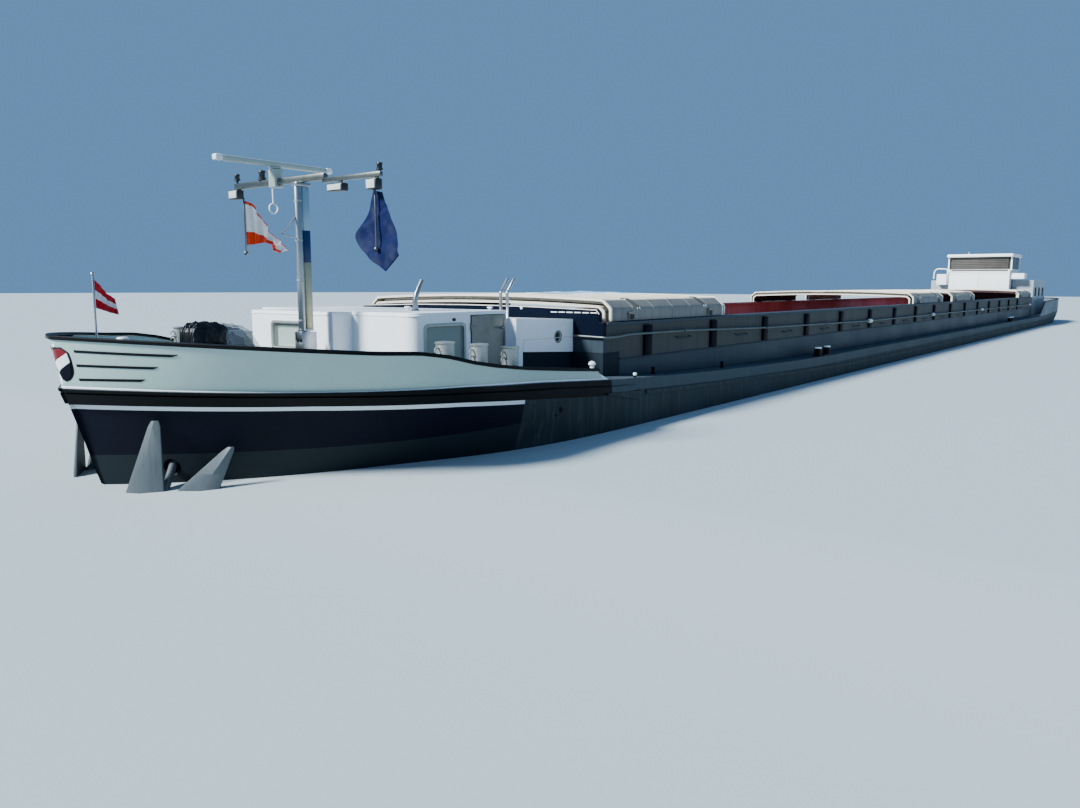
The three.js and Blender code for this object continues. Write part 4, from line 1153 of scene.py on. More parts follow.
@dataclass
class Hull:
    """Hull with its deck, hold, hawse holes, rubbing band and strakes."""
    hold: tuple[float, float, float, float] = (-23900.0, 27700.0, 3380.0, 450.0)
    band_x: tuple[float, ...] = (28700.0, 28950.0, 31900.0, 34670.0, 36750.0)
    band_depth: tuple[float, ...] = (255.0, 300.0, 251.0, 214.0, 235.0)
    groove_depth: tuple[float, ...] = (140.0, 140.0, 118.0, 60.0, 64.0)
    band_out: tuple[float, ...] = (0.0, 60.0, 60.0, 60.0, 60.0)
    line_x: tuple[float, ...] = (28000.0, 31310.0, 34650.0, 36330.0)
    line_rise: tuple[float, ...] = (-340.0, -302.0, -243.0, -264.0)
    strake: tuple[float, float, float] = (-29500.0, 27600.0, 45.0)

    def topside(self, station_rise: Array, out: Array) -> Array:
        """Points of the side at a height below the deck edge at every station.

        Between the waterplane, the painted line and the deck the side is straight: the point at
        share t is a + (b - a) t, moved outwards by the band's thickness.

        Args:
            station_rise: height over the deck edge at each station.
            out: thickness of the band at each station.

        Returns:
            Array of stations and x y z.
        """
        water, line, top = (LEVELS[i].points(*STATIONS) for i in (3, 4, 5))
        z = top[:, 2] + station_rise
        high = np.clip((z - line[:, 2]) / (top[:, 2] - line[:, 2]), 0, 1)[:, None]
        low = np.clip((z - water[:, 2]) / (line[:, 2] - water[:, 2]), 0, 1)[:, None]
        points = np.where(z[:, None] >= line[:, 2:], line + (top - line) * high, water + (line - water) * low)
        way = np.gradient(points[:, :2], axis=0)
        way /= np.linalg.norm(way, axis=1, keepdims=True)
        points[:, :2] += np.stack([-way[:, 1], way[:, 0]], axis=1) * -out[:, None]
        points[:, 1] = np.maximum(points[:, 1], 30.0)
        return points

    def shell(self) -> Form:
        """Outer skin and flat deck, lofted through the stations.

        Returns:
            The closed hull before the hold and the hawse holes are cut.
        """
        rows = [level.points(*STATIONS) for level in LEVELS[:4]]
        x = LEVELS[5].points(*STATIONS)[:, 0]
        depth = np.interp(x, self.band_x, self.band_depth)
        groove = np.interp(x, self.band_x, self.groove_depth)
        out = np.interp(x, self.band_x, self.band_out)
        none = np.zeros(len(x))
        for rise, share in [(-depth - 140, 0), (-depth, 0), (-depth + 6, 1), (-groove - 12, 1),
                            (-groove - 5, 0.4), (-groove + 8, 0.4), (-groove + 15, 1), (none - 8, 1),
                            (none - 1, 0.75), (none, 0)]:
            rows.append(self.topside(rise, out * share))
        port = np.stack(rows, axis=1)
        ring = np.concatenate([port, port[:, ::-1] * MIRROR], axis=1)
        return loft(ring)

    def zones(self, centre: Array, normal: Array) -> Array:
        """Sorts faces into side, deck, hold, and the downward-facing faces in the hawse holes,
        which get near-black colour as painted shade.

        Args:
            centre: centres of the faces.
            normal: their normals.

        Returns:
            Number of each face's finish.
        """
        aft, fore, side, floor = self.hold
        rise = centre[:, 2] - deck(centre[:, 0])
        inside = ((np.abs(centre[:, 1]) < side + 2) & (centre[:, 0] > aft - 2) & (centre[:, 0] < fore + 2)
                  & (centre[:, 2] > floor - 2))
        on_deck = (normal[:, 2] > 0.9) & (np.abs(rise) < 12)
        # downward-facing faces inside the hawse holes: near-black as painted shade
        hawse = (np.abs(centre[:, 1]) < 2300) & (centre[:, 0] > 34600) & (normal[:, 2] < -0.2) & (
            centre[:, 2] > 1700) & (centre[:, 2] < 2650) & (np.abs(normal[:, 1]) < 0.2)
        return np.select([on_deck, inside, hawse], [1, 2, 3], 0)

    def build(self) -> None:
        """Builds the hull and its strakes."""
        obj = stand("hull_skin", mesh_of("hull_skin", self.shell()))
        aft, fore, side, floor = self.hold
        carve(obj, prism([[aft, -side], [fore, -side], [fore, side], [aft, side]], floor, 4000, Plane.PLAN))
        for hawse in Anchors().pockets():
            carve(obj, hawse)
        points = points_of(obj)
        rise = points[:, 2] - deck(points[:, 0])
        keep_attribute(obj, "rise", rise)
        keep_attribute(obj, "line", rise - np.interp(points[:, 0], self.line_x, self.line_rise))
        dress(obj, [HULL_PAINT, DECK_PAINT, HOLD_PAINT, DARK_PAINT_AND_SHADE], self.zones)
        shade(obj, 26)
        placed(obj, nodes=["hull"])
        aft_x, fore_x, out = self.strake
        x = np.linspace(aft_x, fore_x, 60)
        drop = np.interp(x, [aft_x, 0, 15000, 21700, fore_x], [-330, -340, -320, -235, -245])
        face = np.stack([x, np.full(60, 4040.0), deck(x) + drop - 45], axis=1)
        bar = swept(rounded_rectangle(70, 2 * out + 10, 12), face)
        wedge = prism([[28990, deck(28990) - 246], [28990, deck(28990) - 269], [27807, deck(27807) - 428],
                       [27807, deck(27807) - 246]], 4000, 4086, Plane.SIDE)
        piece("side_strakes", both_sides(bar, wedge), SIDE_PAINT)


@dataclass
class Bow:
    """Bow bulwark with its rail, the white moulding at its foot, the shield and the stripes."""
    plate: float = 50.0
    end: float = 29100.0
    end_top: float = 29330.0
    foot_section: tuple = ((-7, 0), (-9, 4), (-9, 25), (-7, 29), (2, 29), (2, 0))
    stripe_half: float = 18.0
    stripes: tuple = (
        # y and height at the stem end, y and height at the point
        (337.0, 3917.0, 1837.0, 3882.0), (312.0, 3719.0, 1483.0, 3708.0), (289.0, 3520.0, 1220.0, 3529.0))
    shield_heights: tuple[float, ...] = (3484.0, 3497.0, 3539.0, 3604.0, 3676.0, 3800.0, 3896.0, 3968.0)
    shield_left: tuple[float, ...] = (95.0, 62.0, 27.0, -16.0, -55.0, -105.0, -128.0, -60.0)
    shield_right: tuple[float, ...] = (97.0, 140.0, 195.0, 239.0, 253.0, 256.0, 242.0, 136.0)

    def line(self, level: Level, end: float, height: Callable[[Array], Array]) -> Array:
        """Line of a level from the port end of the bulwark round the stem to the starboard end.

        Args:
            level: the level.
            end: x of both ends.
            height: gives the height at each x.

        Returns:
            Points of the line.
        """
        straight = np.linspace(end, level.fore_shoulder, 14)[:-1]
        fore = FORE_SHARES[::-1]
        x = np.concatenate([straight, level.fore_shoulder + (level.stem - level.fore_shoulder) * fore])
        y = np.concatenate([np.full(len(straight), level.breadth),
                            40 + (level.breadth - 40) * (1 - fore ** level.fullness)])
        port = np.stack([x, y, height(x)], axis=1)
        return np.concatenate([port, port[::-1] * MIRROR])

    def on_plate(self, y: Array, z: Array, out: float) -> Array:
        """Point of the bulwark's outer face at a distance from the centreline and a height.

        The face is straight between the deck line and the top line of the same share s, so s is
        found by halving: y(s) falls steadily as s rises.

        Args:
            y: distance from the centreline, negative to starboard.
            z: height.
            out: how far the point stands out.

        Returns:
            Array of points.
        """
        across = np.maximum(np.abs(y), 40.0)
        low, high = np.zeros(y.shape), np.ones(y.shape)
        foot, top = LEVELS[5], BULWARK_TOP

        def at(s: Array) -> tuple[Array, Array]:
            """x and y of the face at share s and the wanted height."""
            xs = [v.fore_shoulder + (v.stem - v.fore_shoulder) * s for v in (foot, top)]
            ys = [40 + (v.breadth - 40) * (1 - s ** v.fullness) for v in (foot, top)]
            zs = [deck(xs[0]), np.interp(xs[1], *BULWARK_HEIGHT.T)]
            up = (z - zs[0]) / (zs[1] - zs[0])
            return xs[0] + (xs[1] - xs[0]) * up, ys[0] + (ys[1] - ys[0]) * up

        for _ in range(30):
            middle = (low + high) / 2
            wide = at(middle)[1] > across
            low, high = np.where(wide, middle, low), np.where(wide, high, middle)
        x, _ = at(low)
        ahead, beyond = at(np.clip(low - 0.01, 0, 1)), at(np.clip(low + 0.01, 0, 1))
        way = np.stack([beyond[0] - ahead[0], beyond[1] - ahead[1]], axis=-1)
        way /= np.linalg.norm(way, axis=-1, keepdims=True)
        flat = np.abs(y) <= 40
        nx = np.where(flat, 1.0, -way[..., 1])
        ny = np.where(flat, 0.0, way[..., 0] * np.sign(y))
        return np.stack([x + nx * out, y + ny * out, z], axis=-1)

    def sheet(self, name: str, outside: Array, finish: Finish) -> None:
        """A thin painted field on the plating, given by a grid of its outer points.

        Args:
            name: the piece's name.
            outside: grid of outer points.
            finish: its finish.
        """
        obj = piece(name, grid(outside), finish)
        thick = obj.modifiers.new("thickness", "SOLIDIFY")
        thick.thickness = 3.0 * SHIP
        thick.offset = -1.0

    def field(self, low: tuple[float, float], high: tuple[float, float], inset: float, out: float) -> Array:
        """Grid of a part of the shield between two slanting edges.

        Across share a and up share b, height = low(a) + (high(a) - low(a)) b, and the distance from
        the centreline runs from the shield's left edge to its right edge at that height.

        Args:
            low: height of the lower edge at the left and at the right.
            high: height of the upper edge at the left and at the right.
            inset: width of the black edge left bare.
            out: how far it stands out.

        Returns:
            Grid of points.
        """
        a, b = np.linspace(0, 1, 15)[None, :], np.linspace(0, 1, 22)[:, None]
        bottom, top = self.shield_heights[0] + inset, self.shield_heights[-1] - inset
        lower = np.clip(low[0] + (low[1] - low[0]) * a, bottom, top)
        upper = np.clip(high[0] + (high[1] - high[0]) * a, bottom, top)
        z = lower + (upper - lower) * b
        left = np.interp(z, self.shield_heights, self.shield_left) + inset * 1.1
        right = np.interp(z, self.shield_heights, self.shield_right) - inset * 1.1
        middle = (left + right) / 2
        y = np.minimum(left, middle) + (np.maximum(right, middle) - np.minimum(left, middle)) * a
        return self.on_plate(y, z, out)

    def scuffs(self) -> None:
        """Black rubs of fenders on the side, as thin blots of paint."""
        marks = []
        for x, y, z, radius in ((30400, 4033, 2730, 62), (30520, 4012, 2650, 40), (31584, 3809, 2521, 55),
                                (31965, 3716, 2451, 60), (31780, 3762, 2440, 38), (32800, 3398, 2441, 45)):
            marks.append(turned([(0, -30), (radius, -30), (radius * 0.92, 10), (0, 14)], (x, y, z),
                                (0.25, 0.94, -0.2), 11))
        piece("hull_scuffs", joined(marks), RAIL_ENAMEL)

    def build(self) -> None:
        """Builds the bow."""
        self.scuffs()
        bottom = self.line(LEVELS[5], self.end, lambda x: deck(x) + SEAT)
        top = self.line(BULWARK_TOP, self.end_top, lambda x: np.interp(x, *BULWARK_HEIGHT.T) + 16)
        piece("bow_bulwark_plate", plating(bottom, top, self.plate, 5), BOW_ENAMEL,
              nodes=["bow_bulwark"])
        bitt = joined([block([36500, -130, 4080], [36690, 90, 4122], 12),
                       block([36480, -170, 4114], [36690, 120, 4134], 8)])
        piece("bow_cap_rail", joined([moulding(top, RAIL_SECTION), bitt]), RAIL_ENAMEL,
              nodes=["bow_rail"])
        piece("bow_foot_moulding", moulding(bottom, self.foot_section), LINE_WHITE)
        bracket = prism([[28923, deck(28923) + 3], [29120, deck(29120) + 3], [29300, deck(29300) + 140]],
                        4042, 4052, Plane.SIDE)
        piece("bulwark_end_brackets", both_sides(bracket), LINE_WHITE)
        for number, (y0, z0, y1, z1) in enumerate(self.stripes, 1):
            t = np.linspace(0, 1, 40)
            half = self.stripe_half
            upper = np.full(40, half)
            lower = np.where(t < 0.93, -half, -half + (t - 0.93) / 0.07 * 1.7 * half)
            y, z = y0 + (y1 - y0) * t, z0 + (z1 - z0) * t
            rows = np.linspace(0, 1, 4)[:, None]
            points = self.on_plate(np.broadcast_to(y, (4, 40)), z + lower + (upper - lower) * rows, 4.0)
            for side, sign in (("port", 1.0), ("starboard", -1.0)):
                self.sheet(f"bow_stripe_{number}_{side}", points * np.array([1.0, sign, 1.0]),
                           RAIL_ENAMEL)
        z = np.linspace(3425, 4010, 24)[:, None]
        y = np.broadcast_to([-34.0, -20.0, 0.0, 20.0, 34.0], (24, 5))
        points = self.on_plate(y, np.broadcast_to(z, (24, 5)), 3.0)
        self.sheet("stem_edge_line", points, LINE_WHITE)
        low, high = self.shield_heights[0], self.shield_heights[-1]
        self.sheet("bow_shield_edge", self.field((low, low), (high, high), 0.0, 4.0), RAIL_ENAMEL)
        for name, lower, upper, finish in [
                ("red", (3748, 3890), (high, high), SHIELD_RED),
                ("white", (3612, 3760), (3748, 3890), LINE_WHITE),
                ("navy", (low, low), (3612, 3760), SHIELD_NAVY)]:
            self.sheet(f"bow_shield_{name}", self.field(lower, upper, 26.0, 7.0), finish)


@dataclass
class Stern:
    """Stern bulwark with its rail."""
    front: float = -24600.0
    plate: float = 50.0

    def build(self) -> None:
        """Builds the stern bulwark."""
        last = LEVELS[5]
        side_x = np.concatenate([np.linspace(self.front, -26200, 8),
                                 np.linspace(-26200, last.aft_shoulder, 12)[1:]])
        aft = last.points(*STATIONS)[-len(AFT_SHARES):]
        side = np.stack([side_x, np.full(len(side_x), last.breadth), deck(side_x)], axis=1)
        port = lifted(np.concatenate([side, aft]), SEAT)
        starboard = port * MIRROR
        bottom = np.concatenate([starboard, port[::-1]])
        top = bottom.copy()
        top[:, 2] = np.interp(bottom[:, 0], *STERN_HEIGHT.T)
        piece("stern_bulwark_plate", plating(bottom, top, self.plate, 4), STERN_GREY,
              nodes=["stern_bulwark"])
        piece("stern_cap_rail", moulding(top, RAIL_SECTION), RAIL_ENAMEL,
              nodes=["stern_rail"])


@dataclass
class DeckFittings:
    """Bollards, ventilators and mooring bitts that stand on the deck."""
    bollards: tuple = ((17340.0, 3900.0), (-13900.0, 3900.0), (-29500.0, 3760.0))
    vents: tuple = ((32769.0, 4000.0), (32014.0, 3931.0), (31260.0, 3852.0))
    # profiles: radius and height
    post: tuple = ((0, 30), (98, 30), (98, 215), (105, 222), (105, 240), (0, 240))
    cap: tuple = ((0, 238), (107, 238), (107, 268), (98, 275), (0, 275))
    mushroom: tuple = ((0, 0), (40, 0), (40, 296), (66, 306), (70, 320), (56, 352), (32, 370), (0, 376))
    upright: tuple = ((0, 0), (85, 0), (85, 690), (70, 715), (0, 720))
    crossbar: tuple = ((0, 0), (44, 0), (50, 8), (50, 452), (44, 460), (0, 460))
    stud: tuple = ((0, 0), (60, 0), (60, 20), (34, 26), (34, 120), (46, 128), (46, 150), (0, 152))
    knob: tuple = ((0, 44), (30, 50), (40, 74), (30, 98), (0, 106))

    def build(self) -> None:
        """Builds the fittings on both sides."""
        posts, caps, plates, drums, lids, pins = [], [], [], [], [], []
        for x, y in self.bollards:
            foot = float(deck(x)) - 10
            plates.append(block([x - 480, y - 110, foot], [x + 480, y + 110, foot + 45], 10))
            for along in (-370, 370):
                posts.append(turned(self.post, (x + along, y, foot), UP))
                caps.append(turned(self.cap, (x + along, y, foot), UP))
        piece("bollard_posts", both_sides(*posts, *plates), RAIL_ENAMEL)
        piece("bollard_caps", both_sides(*caps), LINE_WHITE)
        for x, top in self.vents:
            foot = float(deck(x)) - 20
            height = top - foot
            drum_profile = [(0, 0), (138, 0), (138, height - 30), (0, height - 30)]
            drums.append(turned(drum_profile, (x, 3650, foot), UP, 40))
            lids.append(turned([(0, height - 42), (146, height - 42), (150, height - 36), (150, height - 12),
                                (60, height - 2), (0, height)], (x, 3650, foot), UP, 40))
            for z in (top - 95, top - 190):
                pins.append(tube([[x + 120, 3650, z], [x + 215, 3650, z], [x + 215, 3650, z - 60]], 13, PORT))
        piece("ventilator_drums", both_sides(*drums), ZINC)
        piece("ventilator_lids", both_sides(*lids), ZINC)
        piece("ventilator_pins", both_sides(*pins), ZINC)
        dome = turned(self.mushroom, (29100, 3800, 3085), UP)
        piece("mushroom_vents", both_sides(dome), LINE_WHITE)
        bitt = joined([turned(self.upright, (35750, 0, 3345), UP),
                       turned(self.crossbar, (35750, -230, 3900), PORT)])
        piece("bow_bitt", bitt, LINE_WHITE)
        studs = [turned(self.stud, (x, y, float(deck(x)) - 6), UP)
                 for x, y in ((26641.0, 3654.0), (23513.0, 3700.0))]
        seat = (27926, 4000, float(deck(27926.0)) - 6)
        studs.append(drum(seat, UP, 46, 26, 4, 24))
        piece("deck_studs", both_sides(*studs), RAIL_ENAMEL)
        piece("deck_knobs", both_sides(turned(self.knob, seat, UP)), LINE_WHITE)


@dataclass
class Anchors:
    """Anchors with pyramidal flukes, hanging in their hawse holes."""
    x: float = 35740.0
    y: float = 1340.0
    crown: float = 1830.0
    along: tuple[float, float] = (0.63, -0.776)
    out: tuple[float, float] = (0.776, 0.63)
    shank_along: float = 230.0
    flukes: tuple = ((214.0, 787.0, 220.0, 360.0, 2950.0), (177.0, -491.0, -680.0, -800.0, 2580.0))

    def at(self, along: Array | float, out: Array | float, z: Array | float) -> Array:
        """Point at a distance along the side and out from it, at a height."""
        along, out, z = np.broadcast_arrays(along, out, z)
        return np.stack([self.x + self.along[0] * along + self.out[0] * out,
                         self.y + self.along[1] * along + self.out[1] * out, z], axis=-1)

    def shank(self, start: float, end: float, radius: float) -> Form:
        """A round bar on the shank's line between two shares of its length."""
        a, b = (self.at(self.shank_along, 20 - 640 * s, self.crown + 60 + 590 * s) for s in (start, end))
        return drum(a, b - a, float(np.linalg.norm(b - a)), radius, 8, 28)

    def pockets(self) -> list[Form]:
        """The wide mouth and the narrow bore of both hawse holes."""
        port = [self.shank(0, 0.72, 125), self.shank(0.5, 1.05, 56)]
        return port + [form.mirrored() for form in port]

    def fluke(self, foot_a: float, foot_b: float, tip_a: float, tip_b: float, tip: float) -> Form:
        """A tapering fluke with a ridge: four corners and a crest, narrowing from crown to tip.

        Args:
            foot_a: where its foot starts along the side.
            foot_b: where its foot ends.
            tip_a: where its tip starts.
            tip_b: where its tip ends.
            tip: height of its tip.

        Returns:
            The closed fluke.
        """
        share = np.array([0.0, 0.5, 0.93, 1.0])[:, None]
        size = np.array([1.0, 1.0, 1.0, 0.72])[:, None]
        middle = (foot_a + foot_b) / 2 * (1 - share) + (tip_a + tip_b) / 2 * share
        half = ((foot_b - foot_a) / 2 * (1 - share) + (tip_b - tip_a) / 2 * share) * size
        thick = (110 * (1 - share) + 40 * share) * size
        u = np.array([-1.0, 1.0, 1.0, 0.2, -1.0])
        v = np.array([0.0, 0.0, 0.35, 1.0, 0.45])
        z = self.crown + (tip - self.crown) * share
        return loft(self.at(middle + half * u, thick * v, np.broadcast_to(z, (4, 5))))

    def build(self) -> None:
        """Builds the anchors."""
        a, b = self.at(-640, 60, self.crown), self.at(720, 60, self.crown)
        bar = drum(a, b - a, float(np.linalg.norm(b - a)), 105, 20, 24)
        port = joined([self.fluke(*row) for row in self.flukes] + [bar, self.shank(0, 1, 55)])
        for name, form in (("port", port), ("starboard", port.mirrored())):
            piece(f"anchor_{name}_cast", form, ANCHOR_PAINT, nodes=[f"anchor_{name}"],
                  edges=9)


@dataclass
class Coamings:
    """Hatch coamings with flange, seam, frame strips, pipe, grab bars, and the end walls."""
    sleeves: tuple[float, ...] = (11850.0, 3130.0, -7116.0, -22800.0)
    front: float = 28180.0
    aft: float = -24300.0
    inner: float = 3380.0
    outer: float = 3500.0
    top: float = 4115.0
    first_strip: float = 26670.0
    bay: float = 3000.0
    pipe_x: tuple[float, ...] = (28100.0, 27976.0, 27464.0, 25099.0, 20702.0, 11854.0, -24200.0)
    pipe_z: tuple[float, ...] = (3830.0, 3835.0, 3865.0, 3849.0, 3745.0, 3643.0, 3630.0)

    def zones(self, centre: Array, normal: Array) -> Array:
        """Red primer towards the hold, grey panels outside above the seam, slate below it and
        near-black paint at the fore foot.

        Args:
            centre: centres of the faces.
            normal: their normals.

        Returns:
            Number of each face's finish.
        """
        inside = (np.abs(centre[:, 1]) < self.inner + 1) & (centre[:, 2] < self.top - 1)
        outside = np.abs(centre[:, 1]) < self.outer + 3
        fore = (centre[:, 0] > 27690) & (centre[:, 2] < 3540) & outside
        panel = (centre[:, 2] > 3400) & (centre[:, 2] < self.top - 61) & outside
        return np.select([inside, fore, panel], [1, 3, 2], 0)

    def end_zones(self, centre: Array, normal: Array) -> Array:
        """Navy above, slate in the middle and near-black at the foot of the front wall."""
        return np.select([centre[:, 2] < 3540, centre[:, 2] < 3838], [2, 1], 0)

    def split_at(self, obj: Object, height: float) -> None:
        """Cuts new edges round a piece, so that its paint can change there.

        Args:
            obj: the piece.
            height: where to cut it.
        """
        solid = bmesh.new()
        solid.from_mesh(obj.data)
        parts = solid.verts[:] + solid.edges[:] + solid.faces[:]
        bmesh.ops.bisect_plane(solid, geom=parts, plane_co=(0, 0, height * SHIP), plane_no=(0, 0, 1))
        solid.to_mesh(obj.data)
        solid.free()

    @property
    def bays(self) -> Array:
        """Middle of each frame strip along the ship."""
        return self.first_strip - self.bay * np.arange(16)

    def pipe_at(self, x: float) -> float:
        """Height of the pipe."""
        return float(np.interp(x, self.pipe_x[::-1], self.pipe_z[::-1]))

    def walls(self) -> None:
        """Builds both coamings with their flange and seam, as rings of a section along the ship."""
        knots = SHEER[:, 0]
        between = knots[(knots > self.aft) & (knots < self.front)]
        x = np.unique(np.concatenate([[self.aft, 27700, self.front], between]))
        foot = deck(x) + 0.8
        under = self.top - 60
        across = np.array([self.inner, self.outer, self.outer, self.outer, self.outer, 3530, 3530, 3200, 3200,
                           self.inner])
        heights = np.array([0, 0, 3540, 3400, under, under, self.top, self.top, under, under], float)
        rings = np.empty((len(x), len(across), 3))
        rings[..., 0] = x[:, None]
        rings[..., 1] = across
        rings[..., 2] = heights
        rings[:, :2, 2] = foot[:, None]
        rings[:, 2, 2], rings[:, 3, 2] = 3400.0, 3540.0
        wall = loft(rings)
        seam = block([self.aft, self.outer - 2, 3365], [27700, self.outer + 25, 3400], 8)
        for side, sign in (("port", 1), ("starboard", -1)):
            form = joined([wall, seam])
            obj = piece(f"coaming_{side}_wall", form if sign > 0 else form.mirrored(), COAMING_PAINT,
                        nodes=[f"coaming_{side}"], edges=8)
            dress(obj, [COAMING_PAINT, HOLD_PAINT, PANEL_PAINT, DARK_PAINT_AND_SHADE], self.zones)

    def strips(self) -> None:
        """Builds the frame strips."""
        y = self.outer
        strips = [block([at - 140, y - 10, 3413], [at + 140, y + 60, 4024], 5) for at in self.bays]
        # the strips' near-black colour is partly their dark blue paint and partly painted shade
        piece("coaming_frame_strips", both_sides(*strips), STRIP_PAINT_AND_SHADE)

    def pipe(self) -> None:
        """Builds the pipe along the coaming with its clamps, sleeves and cross run."""
        y = self.outer + 90
        parts = [tube(np.stack([self.pipe_x, np.full(7, y), self.pipe_z], axis=1), 24)]
        for at in 25170 - 4500 * np.arange(11):
            z = self.pipe_at(at)
            parts.append(block([at - 40, y - 100, z - 12], [at + 40, y + 2, z + 12], 4))
            parts.append(turned([(27, -38), (38, -38), (38, 38), (27, 38)], (at, y, z), AHEAD, 24, True))
        piece("coaming_pipe", both_sides(*parts), OLD_ZINC)
        run = [[28090, 3590, 3830], [28280, 3588, 3832], [28325, 3550, 3835], [28330, 3460, 3838],
               [28330, 2850, 3852]]
        piece("pipe_cross_run", both_sides(tube(run, 23)), OLD_ZINC)
        sleeve = [(27, -150), (60, -140), (66, -100), (66, 100), (60, 140), (27, 150)]
        drums = [turned(sleeve, (at, y, self.pipe_at(at)), AHEAD, 28, True) for at in self.sleeves]
        piece("pipe_sleeves", both_sides(*drums), WHITE_PLASTIC)

    def fittings(self) -> None:
        """Builds the marks and the lamp of the front wall, and the grab bars between the strips."""
        marks = [block([28278, y, 4290], [28286, y + 150, 4308], 2) for y in 2248 + 190 * np.arange(6)]
        piece("hatch_front_marks", joined(marks), LINE_WHITE)
        lamp = joined([drum((28275, 1507, 4375), AHEAD, 40, 30, 5, 24),
                       block([28276, 1480, 4340], [28296, 1534, 4352], 3)])
        piece("hatch_front_lamp", lamp, WHITE_PLASTIC)
        bars = []
        y = self.outer
        for at in self.bays - 1560:
            z = self.pipe_at(at) - 120
            corners = [[at - 300, y - 5, z], [at - 300, y + 60, z - 40], [at + 300, y + 60, z - 40],
                       [at + 300, y - 5, z]]
            bars.append(tube(corners, 12, (0, 0.3, 1), 10))
        piece("coaming_grab_bars", both_sides(*bars), COAMING_PAINT)

    def ends(self) -> None:
        """Builds the end walls and the bead over the front one."""
        rounded_copy("hatch_aft_wall", "hatch_aft_end", COAMING_PAINT, 8)
        end = rounded_copy("hatch_front_wall", "hatch_front_end", HATCH_NAVY, 8)
        self.split_at(end, 3838.0)
        self.split_at(end, 3540.0)
        dress(end, [HATCH_NAVY, COAMING_PAINT, DARK_PAINT_AND_SHADE], self.end_zones)
        half = np.array([[3400, 4290], [3334, 4369], [1667, 4411], [0, 4425]], float)
        arch = np.concatenate([half, half[::-1][1:] * np.array([-1.0, 1.0])])
        path = np.insert(arch, 0, 28281 + 3, axis=1)
        bead = swept(rounded_rectangle(16, 22, 4), path - np.array([0, 0, 14.0]), AHEAD)
        piece("hatch_front_bead", bead, COVER_RIM)

    def build(self) -> None:
        """Builds the coamings."""
        self.walls()
        self.strips()
        self.pipe()
        self.fittings()
        self.ends()


class Size(Enum):
    """The three sizes of telescoping hatch cover, by how far they sit inside the largest."""
    SMALL = 130.0
    MEDIUM = 65.0
    LARGE = 0.0


